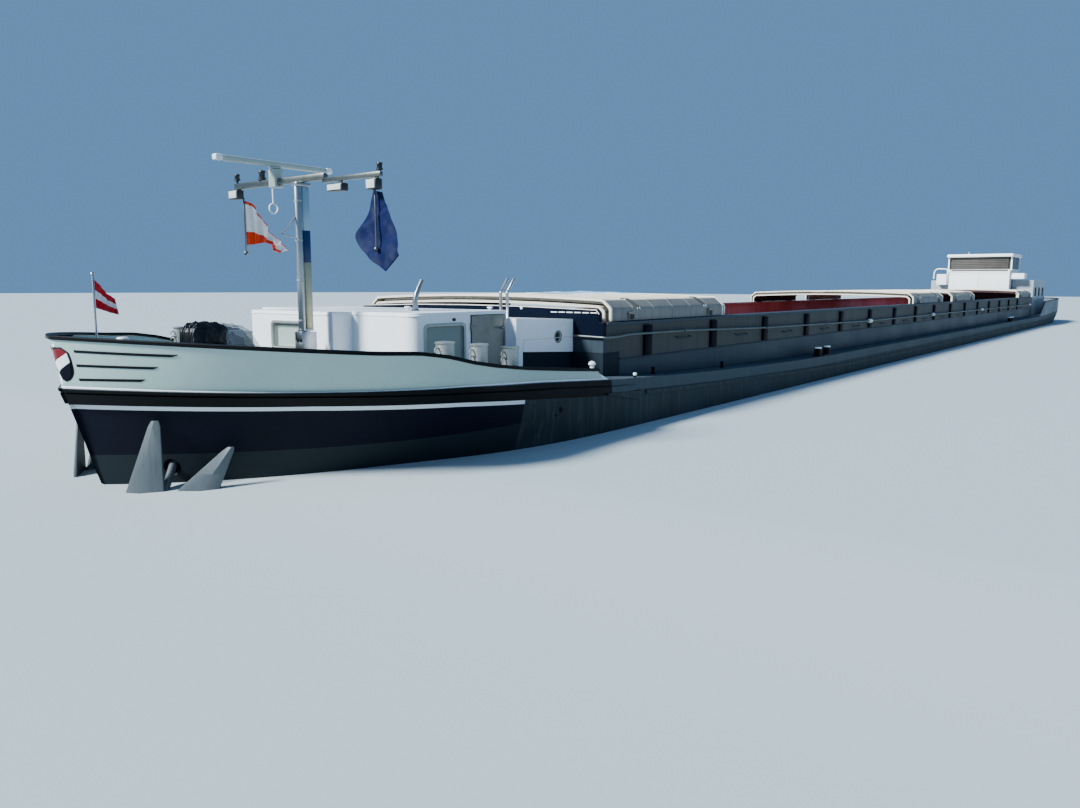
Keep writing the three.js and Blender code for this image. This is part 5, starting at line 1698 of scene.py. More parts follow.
@dataclass
class HatchCover:
    """One arched cover of aluminium sheet with rims, standing seams, wheels and straps."""
    name: str
    size: Size
    front: float
    body: str
    length: float = 4920.0
    side: float = 3440.0
    side_top: float = 4380.0
    shoulder: float = 3240.0
    shoulder_top: float = 4550.0
    crown: float = 4630.0
    wall: float = 40.0
    foot: float = 4129.0
    bend: float = 26.0
    bays: int = 6

    def arch(self, inset: Array) -> Array:
        """Cross-section of the cover at each station, from the port foot over to starboard.

        The side is upright, the shoulder slopes, and the top is an arc of a circle:
        z = crown - inset - y^2 / 2R, with R from the rise of the shoulder to the crown.

        Args:
            inset: inset at each station.

        Returns:
            Array of stations, points and y z.
        """
        inset = np.asarray(inset, float)[:, None]
        rise = self.crown - self.shoulder_top
        radius = (self.shoulder ** 2 + rise ** 2) / (2 * rise)
        slope = (self.shoulder_top - self.side_top) / (self.side - self.shoulder)
        lean = math.hypot(slope, 1) - slope
        side, side_top = self.side - inset, self.side_top - inset * lean
        shoulder = self.shoulder - inset * 0.39
        y_top = shoulder * np.linspace(1, 0, 13)
        z_top = self.crown - inset - y_top ** 2 / (2 * radius)
        bend = self.bend
        y = np.concatenate([side, side, side - bend * 0.25, side - bend * 0.9, shoulder + bend * 0.7,
                            y_top - np.array([bend * 0.2] + [0] * 12)], axis=1)
        corner_z = self.crown - inset - shoulder ** 2 / (2 * radius)
        z = np.concatenate([np.full_like(side, self.foot), side_top - bend, side_top - bend * 0.1,
                            side_top + bend * 0.75, corner_z - bend * 0.62, z_top], axis=1)
        half = np.stack([y, z], axis=-1)
        return np.concatenate([half, half[:, ::-1][:, 1:] * np.array([-1.0, 1.0])], axis=1)

    def shell(self) -> Form:
        """Sheet with rims at both ends and standing seams between.

        Returns:
            The closed cover.
        """
        steps, proud = [0.0, 46.0, 50.0], [9.0, 9.0, 0.0]
        for i in range(1, self.bays):
            at = self.length * i / self.bays
            steps += [at - 16, at - 10, at + 10, at + 16]
            proud += [0.0, 7.0, 7.0, 0.0]
        steps += [self.length - 50, self.length - 46, self.length]
        proud += [0.0, 9.0, 9.0]
        inset = self.size.value
        outer, inner = self.arch(inset - np.array(proud)), self.arch(np.full(2, inset + self.wall))
        count = outer.shape[1]
        x_out = self.front - np.array(steps)
        x_in = np.array([self.front - self.length, self.front])
        rows = np.concatenate([outer, inner])
        x = np.concatenate([x_out, x_in])
        points = np.concatenate([np.broadcast_to(x[:, None, None], (len(x), count, 1)), rows], axis=2)
        skin = grid(points, round_rows=True)
        index = np.arange(len(x) * count).reshape(len(x), count)
        return Form(skin.points, skin.faces + [index[:, :1].T.copy(), index[::-1, -1:].T.copy()])

    def rim_zone(self, centre: Array, normal: Array) -> Array:
        """Cream paint on the rims and edges, a paler copy of the sheet on top as painted sunlight, dull sheet
        on the sides, and an inside that is near-black as painted shade on the smallest cover and tarnished on
        the others.

        Args:
            centre: centres of the faces.
            normal: their normals.

        Returns:
            Number of each face's finish.
        """
        ahead = self.front - centre[:, 0]
        rim = (ahead < 50) | (ahead > self.length - 50)
        # inside faces: on the smallest cover these are near-black as painted shade
        inside = (normal[:, 2] < -0.3) | (centre[:, 1] * normal[:, 1] < -0.3 * np.abs(centre[:, 1]))
        # top faces get the paler copy of the sheet as painted sunlight
        top = centre[:, 2] > self.shoulder_top - self.size.value - 40
        return np.select([inside, rim, top], [3, 1, 2], 0)

    def build(self) -> None:
        """Builds the cover with its runners, wheels and straps."""
        inset = self.size.value
        edge = self.side - inset
        ends = [self.front - 820, self.front - self.length + 620]
        obj = piece(f"{self.name}_sheet", self.shell(), COVER_SKIN, self.body, [self.name])
        # the smallest cover's inside faces the hold and is painted near-black as painted shade; the larger
        # covers keep a tarnished inside
        shade_or_lining = COVER_PAINTED_SHADE if self.size is Size.SMALL else COVER_LINING
        dress(obj, [COVER_SKIN, COVER_RIM, COVER_TOP_PAINTED_SUNLIGHT, shade_or_lining], self.rim_zone)
        runners = [block([x, edge - 38, 4116], [x + 200, edge - 2, 4150], 6) for x in ends]
        piece(f"{self.name}_runners", both_sides(*runners), RUBBER, self.body)
        if self.size is Size.LARGE:
            wheels, boxes = [], []
            for x in ends:
                boxes.append(block([x, edge - 12, 4255], [x + 200, edge + 52, 4299], 8))
                boxes.append(block([x, edge - 12, 4149], [x + 14, edge + 52, 4280], 4))
                boxes.append(block([x + 186, edge - 12, 4149], [x + 200, edge + 52, 4280], 4))
                wheels.append(drum((x + 100, edge + 2, 4205), PORT, 46, 56, 8, 28))
            piece(f"{self.name}_wheel_boxes", both_sides(*boxes), COVER_SKIN, self.body)
            piece(f"{self.name}_wheels", both_sides(*wheels), RUBBER, self.body)
            self.straps()
            if self.name == "cover_1_large":
                self.loose_sheet()

    def loose_sheet(self) -> None:
        """A light blue cover sheet that lies crumpled on top of the sheet metal."""
        u, v = np.meshgrid(np.linspace(0, 1, 60), np.linspace(0, 1, 44))
        fold = sum((1 - np.abs(np.sin(a * u + b * v + c))) * h for a, b, c, h in
                   [(9, 3, 0.4, 0.5), (5, -8, 1.1, 0.35), (17, 11, 2.0, 0.2), (27, -19, 0.2, 0.1)])
        x = self.front - 4600 + 2500 * u + 60 * np.sin(7 * v)
        y = -350 + 1700 * v + 70 * np.sin(6 * u)
        z = self.crown - y ** 2 * 1.52e-5 + 12 + 52 * fold * (np.sin(np.pi * u) * np.sin(np.pi * v)) ** 0.4
        cloth_piece(f"{self.name}_loose_sheet", np.stack([x, y, z], axis=-1), BLUE_SHEET,
                    self.body)

    def straps(self) -> None:
        """Two pairs of lashing straps over each shoulder, from the top's edge down to a hook."""
        belts, hooks = [], []
        for start, end in ((740.0, 990.0), (3690.0, 3930.0)):
            for shift in (0.0, 90.0):
                at = np.array([0.0, 0.45, 0.5, 0.96, 1.0])
                x = self.front - (start + (end - start) * at + shift)
                y = np.interp(at, [0, 0.5, 1], [self.shoulder - 60, self.shoulder + 6, self.side + 6])
                heights = [self.shoulder_top + 12, self.shoulder_top + 4, self.side_top + 5]
                path = np.stack([x, y, np.interp(at, [0, 0.5, 1], heights)], axis=1)
                belts.append(swept(rounded_rectangle(34, 6, 2, 2), path, (0, 0.6, 0.8)))
                hooks.append(block([x[-1] - 24, self.side - 2, self.side_top - 46],
                                   [x[-1] + 24, self.side + 14, self.side_top + 10], 5))
        piece(f"{self.name}_straps", both_sides(*belts), BLACK_STRAP, self.body)
        piece(f"{self.name}_hooks", both_sides(*hooks), ZINC, self.body)


COVERS = (
    # set, size, x of the front edge at rest
    (1, Size.SMALL, 27980.0), (1, Size.MEDIUM, 27700.0), (1, Size.LARGE, 27940.0),
    (2, Size.SMALL, 5850.0), (2, Size.MEDIUM, 5570.0), (2, Size.LARGE, 5810.0),
    (3, Size.MEDIUM, -1140.0), (3, Size.LARGE, -900.0),
    (4, Size.SMALL, -19372.0), (4, Size.MEDIUM, -19300.0), (4, Size.LARGE, -19140.0))
FIXED_COVER = "cover_4_small"


@dataclass
class ForeCabin:
    """Forward cabin with rounded corners, windows, door, roof vents and exhaust."""
    front: float = 32820.0
    port_shoulder: float = 32400.0
    starboard_shoulder: float = 31700.0
    aft: float = 30080.0
    trunk: float = 1130.0
    side: float = 2600.0
    roof: float = 4380.0
    wall: float = 60.0
    radii: tuple[float, ...] = (24.0, 280.0, 12.0, 16.0, 16.0, 12.0, 280.0, 24.0)

    def plan(self, inset: float) -> Array:
        """Outline of the cabin in plan, with softly rounded shoulders.

        Args:
            inset: distance inwards from the walls.

        Returns:
            Points of the outline.
        """
        def half(sign: float, shoulder: float) -> list:
            """Corners of one side, from aft to the front."""
            return [[self.aft + inset, sign * (self.side - inset)],
                    [shoulder - inset, sign * (self.side - inset)],
                    [shoulder - inset, sign * (self.trunk - inset)],
                    [self.front - inset, sign * (self.trunk - inset)]]
        outline = half(1, self.port_shoulder) + half(-1, self.starboard_shoulder)[::-1]
        return rounded_corners(outline, self.radii, 8)

    def shell(self) -> Form:
        """Walls, rounded roof edge and a drip rail under it, through plans of growing inset.

        Returns:
            The closed cabin.
        """
        top = self.roof
        rows = [(0, 3000), (0, top - 66), (-9, top - 62), (-9, top - 44), (0, top - 40),
                (0, top - 14), (3, top - 5), (10, top - 1), (26, top)]
        rings = []
        for inset, z in rows:
            outline = self.plan(inset)
            rings.append(np.concatenate([outline, np.full((len(outline), 1), z)], axis=1))
        return loft(np.stack(rings))

    def build(self) -> None:
        """Builds the cabin."""
        obj = stand("fore_cabin_shell", mesh_of("fore_cabin_shell", self.shell()))
        inner = self.plan(self.wall)
        carve(obj, prism(inner, 2900, self.roof - self.wall, Plane.PLAN))
        knots = SHEER[(SHEER[:, 0] > 29000) & (SHEER[:, 0] < 33500)]
        below = np.concatenate([[[29000, 2800]], [[29000, deck(29000) + 0.8]], knots + np.array([0, 0.8]),
                                [[33500, deck(33500) + 0.8]], [[33500, 2800]]])
        carve(obj, prism(below, -4500, 4500, Plane.SIDE))
        window = rounded_rectangle(1000, 420, 40) + np.array([0, 3950])
        carve(obj, prism(window, self.front - 200, self.front + 60, Plane.SECTION))
        port = rounded_rectangle(895, 590, 60) + np.array([31672.5, 3855])
        carve(obj, prism(port, self.side - 150, self.side + 60, Plane.SIDE))
        starboard = rounded_rectangle(850, 590, 60) + np.array([30825, 3855])
        carve(obj, prism(starboard, -self.side - 60, 150 - self.side, Plane.SIDE))
        carve(obj, prism([[30130, 3320], [31050, 3320], [31050, 4320], [30130, 4320]], self.side - 150,
                         self.side + 60, Plane.SIDE))
        dress(obj, [WHITE_ENAMEL])
        shade(obj)
        placed(obj, nodes=["fore_cabin"])
        self.frames()
        self.roof_fittings()
        self.door()
        blind = [block([self.front - 95, -480, 3752 + 21 * i], [self.front - 70, 480, 3769 + 21 * i], 3, 2)
                 for i in range(19)]
        piece("front_window_blind", joined(blind), MINT_PLASTIC)
        dress_nodes(CABIN_GLASS, "fore_pane_port", "fore_pane_starboard")
        dress_nodes(FRONT_GLASS, "fore_pane_front")

    def frames(self) -> None:
        """Rounded frames round the windows, each swept from a flat bar round its opening."""
        def frame_at(centre: tuple[float, float], width: float, height: float, lift: Callable) -> Form:
            """A closed flat frame of the opening's outline, lifted into place."""
            inside = rounded_rectangle(width - 6, height - 6, 55, 6) + np.array(centre)
            outside = rounded_rectangle(width + 100, height + 100, 90, 6) + np.array(centre)
            mid = rounded_rectangle(width + 30, height + 30, 70, 6) + np.array(centre)
            rows = np.stack([lift(inside, -30), lift(inside, 16), lift(mid, 22), lift(outside, 14),
                             lift(outside, -4)])
            return grid(rows, round_rows=True, round_columns=True)

        def on_front(flat: Array, out: float) -> Array:
            """Lifts y and z onto the front wall."""
            return np.insert(flat, 0, self.front + out, axis=1)

        def on_side(sign: float) -> Callable:
            """Lifts x and z onto a side wall."""
            return lambda flat, out: np.insert(flat, 1, sign * (self.side + out), axis=1)

        forms = [frame_at((0, 3950), 1000, 420, on_front), frame_at((31672.5, 3855), 895, 590, on_side(1)),
                 frame_at((30825, 3855), 850, 590, on_side(-1))]
        piece("cabin_window_frames", joined(forms), ZINC)

    def roof_fittings(self) -> None:
        """Mushroom vents, exhaust and the small lamp on the side."""
        vents = []
        for x, y, radius in ((31000, 1020, 68), (30250, 2350, 54)):
            vents.append(turned([(0, 0), (radius * 0.45, 0), (radius * 0.45, 35), (radius, 38), (radius, 48),
                                 (radius * 0.8, 64), (0, 68)], (x, y, self.roof - 3), UP))
        piece("cabin_roof_vents", joined(vents), WHITE_ENAMEL)
        stack = tube([[31500, 1730, self.roof - 5], [31500, 1730, 4622], [31330, 1730, 4900]], 47, PORT, 20)
        collar = turned([(0, 0), (75, 0), (75, 14), (52, 40), (0, 40)], (31500, 1730, self.roof - 2), UP)
        piece("cabin_exhaust", joined([stack, collar]), STEEL)
        lamp = joined([turned([(0, -4), (26, -4), (26, 30), (18, 42), (0, 46)], (31470, 2600, 4252), PORT),
                       block([31440, 2598, 4232], [31500, 2612, 4272], 5)])
        piece("cabin_side_lamp", lamp, BLACK_PLASTIC)

    def door(self) -> None:
        """Sheet metal door with a pressed edge, dogs and hinges, in place of the plain leaf."""
        leaf = rounded_rectangle(896, 976, 40) + np.array([30590, 3820])
        panel = rounded_rectangle(780, 860, 30) + np.array([30590, 3820])
        rows = [(leaf, 2580), (leaf, 2617), (leaf, 2625), (panel, 2625), (panel, 2619)]
        body = loft(np.stack([np.insert(flat, 1, y, axis=1) for flat, y in rows]))
        lever = tube([[30214, 2600, 4072], [30214, 2690, 4072], [30374, 2690, 4072]], 15, (0.02, 0.1, 1))
        boss = drum((30214, 2618, 4072), PORT, 20, 34, 5)
        hinges = [drum((31050, 2620.8, z - 60), UP, 120, 20, 4, 20) for z in (3520, 4120)]
        straps = [block([30900, 2622, z - 18], [31050, 2630, z + 18], 4) for z in (3520, 4120)]
        leaf = joined([body, lever, boss, *hinges, *straps])
        piece("fore_cabin_door_leaf", leaf, DOOR_STEEL, "fore_cabin_door", ["fore_cabin_door"])


@dataclass
class Locker:
    """Stores locker behind the cabin, with a recessed dark base, a hatch outline and exhausts."""
    front: float = 30060.0
    aft: float = 28300.0
    side: float = 2800.0

    def zones(self, centre: Array, normal: Array) -> Array:
        """Dark paint on the recessed base, white above the ledge, bare steel on the exhausts.

        Args:
            centre: centres of the faces.
            normal: their normals.

        Returns:
            Number of each face's finish.
        """
        ledge = np.interp(centre[:, 0], [28300, 29870], [3535, 3622])
        base = (centre[:, 2] < ledge - 2) & (centre[:, 0] < 29868)
        return np.select([base, centre[:, 2] > 4240], [1, 2], 0)

    def build(self) -> None:
        """Builds the locker."""
        obj = rounded_copy("fore_locker", "fore_locker_shell", WHITE_ENAMEL, 14, 3)
        dress(obj, [WHITE_ENAMEL, DARK_PAINT_AND_SHADE, STEEL], self.zones)
        path = [[28310, 2801, 3835], [29852, 2801, 3835], [29852, 2801, 3630]]
        piece("locker_panel_beads", both_sides(tube(path, 6, (0, 1, 0.01), 8)), COVER_RIM)
        seat = (28793, 2800, 3853)
        ring = turned([(98, -3), (98, 12), (112, 14), (122, 8), (122, -3)], seat, PORT, 40, True)
        glass = turned([(0, -40), (101, -40), (101, -30), (0, -30)], seat, PORT, 40)
        piece("locker_porthole_rings", both_sides(ring), ZINC)
        piece("locker_porthole_glass", both_sides(glass), BRIDGE_GLASS)


@dataclass
class Mast:
    """Folding mast with its foot, cross-arm, lamps and floodlights."""
    x: float = 33260.0
    y: float = 918.0
    arm_x: float = 33200.0
    body: str = "mast_top"
    staffs: tuple = ((-640.0, 6300.0, 5366.0), (2680.0, 6230.0, 5352.0))
    lamps: tuple = ((-805.0, 6520.0, 6589.0, 6706.0, 50.0), (-90.0, 6520.0, 6545.0, 6715.0, 62.0),
                    (2793.0, 6450.0, 6488.0, 6601.0, 48.0))
    lantern: tuple = (
        # foot, cap and glass of a lantern, as shares of its radius and height
        ((0, 0), (1, 0), (1, 0.25), (0.86, 0.28), (0, 0.28)),
        ((0, 0.72), (0.86, 0.72), (1, 0.76), (0.9, 0.93), (0, 1)),
        ((0, 0.2), (0.8, 0.2), (0.8, 0.8), (0, 0.8)))
    floodlights: tuple = ((-885.0, -640.0, 6272.0, 6424.0, 6450.0), (1740.0, 2080.0, 6235.0, 6352.0, 6410.0),
                          (2626.0, 2837.0, 6208.0, 6366.0, 6410.0))

    def build(self) -> None:
        """Builds the mast and everything on it."""
        rounded_copy("mast_foot", "mast_foot_plates", STEEL, 5)
        x, y = self.x, self.y
        box = [block([33333, y - 93, 3800], [33340, y + 93, 3896], 2)]
        box += [block([33050, y + side, 3800], [33340, y + side + 6, 4066], 2) for side in (-93, 87)]
        piece("mast_foot_box", joined(box), STEEL)
        poster = joined([
            drum((x, y, 4080), UP, 2350, 57, 8, 40),
            block([33060, y - 38, 4075], [x + 57, y + 38, 4115], 6),
            block([33048, y - 68, 6380], [33325, y + 68, 6439.2], 10),
            block([33133, y - 51, 3890], [33243, y + 51, 4100], 8),
            drum((33188, y - 60, 3950), PORT, 120, 34, 5, 28),
            block([33317, y - 62, 3946], [33323, y + 62, 4079], 2),
            tube([[33290, y, 5930], [33560, y, 5614], [33596, y, 5640]], 13, PORT),
            tube([[33300, y, 5560], [33560, y, 5608]], 10, PORT),
        ])
        piece("mast_column", poster, STEEL, self.body, ["mast"])
        for name, low, high, finish in (
                ("lower", 4080, 5185, YELLOWED_STEEL), ("middle", 5180, 5695, NAVY_PLATE),
                ("upper", 5690, 6430, BLUE_PLATE)):
            bar = block([33048, y - 21, low], [33178, y + 21, high], 6)
            piece(f"mast_bar_{name}", bar, finish, self.body)
        bands = [turned([(56, -14), (62, -14), (62, 14), (56, 14)], (x, y, z), UP, 40, True)
                 for z in (4250, 4900, 5530, 6150)]
        piece("mast_bands", joined(bands), ZINC, self.body)
        ax = self.arm_x
        arm = [block([ax - 45, -840, 6440], [ax + 45, 1560, 6540], 10),
               block([ax - 32, 1500, 6394], [ax + 32, 2830, 6470], 10)]
        for sy, high, low in self.staffs:
            arm += [drum((ax, sy, low), UP, high - low, 14, 3, 20),
                    turned([(0, -38), (19, -33), (33, -19), (38, 0), (33, 19), (19, 33), (0, 38)],
                           (ax, sy, low), UP, 24)]
        arm += [block([ax - 20, (a + b) / 2 - 30, top - 10], [ax + 20, (a + b) / 2 + 30, seat], 4)
                for a, b, _, top, seat in self.floodlights]
        # the cross-arm's darker steel is a painted reflection of dark surroundings
        piece("mast_cross_arm", joined(arm), STEEL_WITH_PAINTED_REFLECTION, self.body, ["mast_arm"])
        housings, lenses, lanterns = [], [], []
        for ly, seat, low, high, radius in self.lamps:
            tall = high - low
            housings.append(drum((ax, ly, seat), UP, low - seat + 8, 20, 3, 20))
            foot, cap, glass = (
                turned([(radius * out, tall * up) for out, up in profile], (ax, ly, low), UP)
                for profile in self.lantern)
            housings += [foot, cap]
            lanterns.append(glass)
        for a, b, low, high, _ in self.floodlights:
            housings.append(block([ax - 10, a, low], [ax + 128, b, high], 16))
            lenses.append(block([ax + 122, a + 16, low + 16], [ax + 140, b - 16, high - 16], 6))
        piece("mast_lamp_housings", joined(housings), BLACK_PLASTIC, self.body)
        piece("mast_lamp_lenses", joined(lenses), LENS, self.body)
        piece("mast_lantern_lenses", joined(lanterns), SMOKED_LENS, self.body)
        ring = turned([(74, -10), (86, -12), (92, 0), (86, 12), (74, 10)], (ax, 189, 6074), PORT, 40, True)
        arm_down = block([ax - 12, 180, 6150], [ax + 12, 198, 6445], 4)
        piece("mast_white_ring", joined([ring, arm_down]), WHITE_PLASTIC, self.body)


@dataclass
class Radar:
    """Radar gearbox on the cross-arm and the turning scanner on top."""
    x: float = 33200.0
    y: float = 290.0
    height: float = 6772.0
    length: float = 2230.0

    def build(self) -> None:
        """Builds the radar."""
        x, y, z = self.x, self.y, self.height
        rounded_copy("radar_gearbox", "radar_gearbox_case", RADAR_SKIN, 12, 3, "mast_top")
        share = np.array([-1.0, -0.985, -0.95, -0.9, 0.9, 0.95, 0.985, 1.0])
        size = np.array([0.55, 0.82, 0.97, 1.0, 1.0, 0.97, 0.82, 0.55])
        path = np.stack([x + share * (self.length / 2 - 90), np.full(8, y + 10), np.full(8, z)], axis=1)
        bar = swept(rounded_rectangle(116, 88, 26, 5), path, size=size)
        hub = turned([(0, 0), (90, 0), (90, 20), (70, 34), (0, 34)], (x, y, z - 70), UP)
        piece("radar_scanner_bar", joined([bar, hub]), RADAR_SKIN, "radar_scanner",
              ["radar_scanner"])
        reach = self.length / 2
        caps = [block([x + s * (reach - 130), y - 50, z - 46], [x + s * reach, y + 70, z + 46], 22)
                for s in (-1, 1)]
        piece("radar_scanner_caps", joined(caps), WHITE_PLASTIC, "radar_scanner")


def keep_cloth_map(obj: Object, rows: int, columns: int) -> None:
    """Gives a cloth piece its UV map "cloth", with u and v from 0 to 1 over its grid.

    Args:
        obj: the piece.
        rows: rows of its grid.
        columns: columns of its grid.
    """
    layer = obj.data.uv_layers.new(name="cloth")
    vertex = np.empty(len(obj.data.loops), np.int32)
    obj.data.loops.foreach_get("vertex_index", vertex)
    flat = np.stack([(vertex % columns) / (columns - 1), (vertex // columns) / (rows - 1)], axis=1)
    layer.data.foreach_set("uv", flat.ravel())


def cloth_piece(name: str, points: Array, finish: Finish,
                body: str = SHIP_BODY, nodes: Sequence[str] = (), thick: float = 3.0) -> None:
    """Args:
        name: the piece's name.
        points: grid of points of the ship.
        finish: its finish.
        body: body that it moves with.
        nodes: CAD nodes that it replaces.
        thick: thickness of the cloth.
    """
    rows, columns = points.shape[:2]
    form = grid(points)
    mesh = bpy.data.meshes.new(name)
    mesh.from_pydata((form.points * SHIP).tolist(), [], form.faces[0].tolist())
    obj = stand(name, mesh)
    keep_cloth_map(obj, rows, columns)
    dress(obj, [finish])
    mesh.shade_smooth()
    solid = obj.modifiers.new("thickness", "SOLIDIFY")
    solid.thickness = thick * SHIP
    solid.offset = 0.0
    placed(obj, body, nodes)


@dataclass
class Flags:
    """The two flags that hang from the cross-arm and the jack flag at the stem."""
    body: str = "mast_top"

    def hanging(self, top: Sequence, bottom: Sequence, folds: float, depth: float, normal: Floats,
                rows: int = 40, columns: int = 44) -> Array:
        """Grid of a hanging flag between its upper and lower edge curves.

        Point (u, v) = upper(u) + (lower(u) - upper(u)) v + normal * depth * w, where w is the sum of
        two sines whose folds grow from the staff to the fly and lean with v.

        Args:
            top: points of the upper edge, from the staff to the fly.
            bottom: points of the lower edge.
            folds: number of folds along the edge.
            depth: depth of a fold.
            normal: direction across the cloth.
            rows: rows of the grid.
            columns: columns of the grid.

        Returns:
            Grid of points.
        """
        upper, lower = smooth_path(top, columns), smooth_path(bottom, columns)
        v, u = np.linspace(0, 1, rows)[:, None], np.linspace(0, 1, columns)[None, :]
        base = upper[None] + (lower - upper)[None] * v[..., None]
        turn = 2 * np.pi * folds * u
        wave = (np.sin(turn + 1.3 * v) + 0.45 * np.sin(2.2 * turn - 2.1 * v)) * u ** 0.6
        return base + (depth * wave)[..., None] * np.array(normal, float)

    def build(self) -> None:
        """Builds the flags."""
        y = -640.0
        top = [[33185, y, 6250], [33005, y, 6174], [32703, y, 5765], [32298, y, 5448]]
        bottom = [[33178, y, 5503], [33000, y, 5525], [32755, y, 5554], [32577, y, 5386]]
        cloth_piece("starboard_flag_cloth", self.hanging(top, bottom, 4.0, 50, PORT), ORANGE_FLAG,
                    self.body, ["flag_starboard"])
        x = 33143.0
        top = [[x, 2779, 6177], [x, 2850, 6000], [x, 2930, 5860], [x, 3080, 5480], [x, 3085, 5250]]
        bottom = [[x, 2583, 6218], [x, 2436, 5862], [x, 2148, 5532], [x, 2440, 5240], [x, 2800, 5022]]
        cloth_piece("port_flag_cloth", self.hanging(top, bottom, 2.6, 16, AHEAD), BLUE_FLAG,
                    self.body, ["flag_port"])
        staff = joined([drum((36117, 0, 3388), UP, 1582, 15, 3, 20),
                        drum((36117, 0, 3386), UP, 64, 55, 8, 28),
                        turned([(0, -30), (15, -26), (26, -15), (30, 0), (26, 15), (15, 26), (0, 30)],
                               (36117, 0, 4970), UP, 24)])
        piece("jackstaff_pole", staff, STEEL, nodes=["jackstaff"])
        top = [[36098, 0, 4890], [36020, 0, 4810], [35937, 0, 4700], [35817, 0, 4620]]
        bottom = [[36098, 0, 4490], [36010, 0, 4460], [35900, 0, 4420], [35787, 0, 4390]]
        cloth_piece("jack_flag_cloth", self.hanging(top, bottom, 4.0, 20, PORT, 24, 30), JACK_FLAG,
                    nodes=["jack_flag"])


@dataclass
class Winch:
    """Anchor winch with its control stand, under a tarpaulin and a polythene sheet."""

    def build(self) -> None:
        """Builds the winch and its covers."""
        rounded_copy("anchor_winch", "anchor_winch_frame", WINCH_PAINT, 10)
        profile = [[33600, 3560], [33740, 3830], [33860, 4010], [34000, 4130], [34150, 4175], [34300, 4195],
                   [34410, 4170], [34470, 3760]]
        self.cover("winch_tarpaulin", profile, (-452, 452), 34, TARP, 7.0, ["winch_cover"])
        profile = [[34330, 4195], [34420, 4240], [34560, 4262], [34700, 4262], [34830, 4245], [34920, 4130],
                   [34935, 3760]]
        self.cover("control_stand_tarpaulin", profile, (70, 500), 30, TARP, 3.0)
        profile = [[33690, 3790], [33780, 3930], [33890, 4085], [34020, 4185], [34200, 4225], [34380, 4238]]
        self.cover("winch_polythene", profile, (60, 502), 30, CLEAR_SHEET, 4.0)

    def cover(self, name: str, profile: list, across: tuple[float, float], crumple: float, finish: Finish,
              seed: float, nodes: Sequence[str] = ()) -> None:
        """Drapes a cloth over a profile and lets its sides hang down.

        Across share v the cloth runs level over the top and falls by 1.6 |v|^8 of 330 mm at each
        side; crumples are sums of crossed sines, folded to ridges by taking 1 - |sin|.

        Args:
            name: the piece's name.
            profile: rows of x and height from aft to fore.
            across: y of the starboard and port edges.
            crumple: height of the crumples.
            finish: its finish.
            seed: shifts the crumples.
            nodes: CAD nodes that it replaces.
        """
        path = smooth_path(np.insert(np.array(profile, float), 1, 0, axis=1), 70)
        v = np.linspace(-1, 1, 70)[None, :]
        u = np.linspace(0, 1, 70)[:, None]
        middle, half = (across[0] + across[1]) / 2, (across[1] - across[0]) / 2
        ridges = sum((1 - np.abs(np.sin(a * u + b * v + seed * c))) * h for a, b, c, h in
                     [(7, 4, 1, 0.8), (11, -6, 2, 0.6), (4, 13, 3, 0.6), (23, 17, 4, 0.3), (31, -27, 5, 0.2)])
        fall = np.minimum(np.abs(v) ** 8 * 330, path[:, None, 2] - 3520)
        points = np.empty((70, 70, 3))
        points[..., 0] = path[:, None, 0] + crumple * (ridges - 1.6) * 0.5
        points[..., 1] = middle + half * (np.sign(v) * np.abs(v) ** 0.8) + 0.3 * crumple * (ridges - 1.6)
        points[..., 2] = path[:, None, 2] - fall + crumple * (ridges - 1.9)
        cloth_piece(name, points, finish, nodes=nodes,
                    thick=4.0)


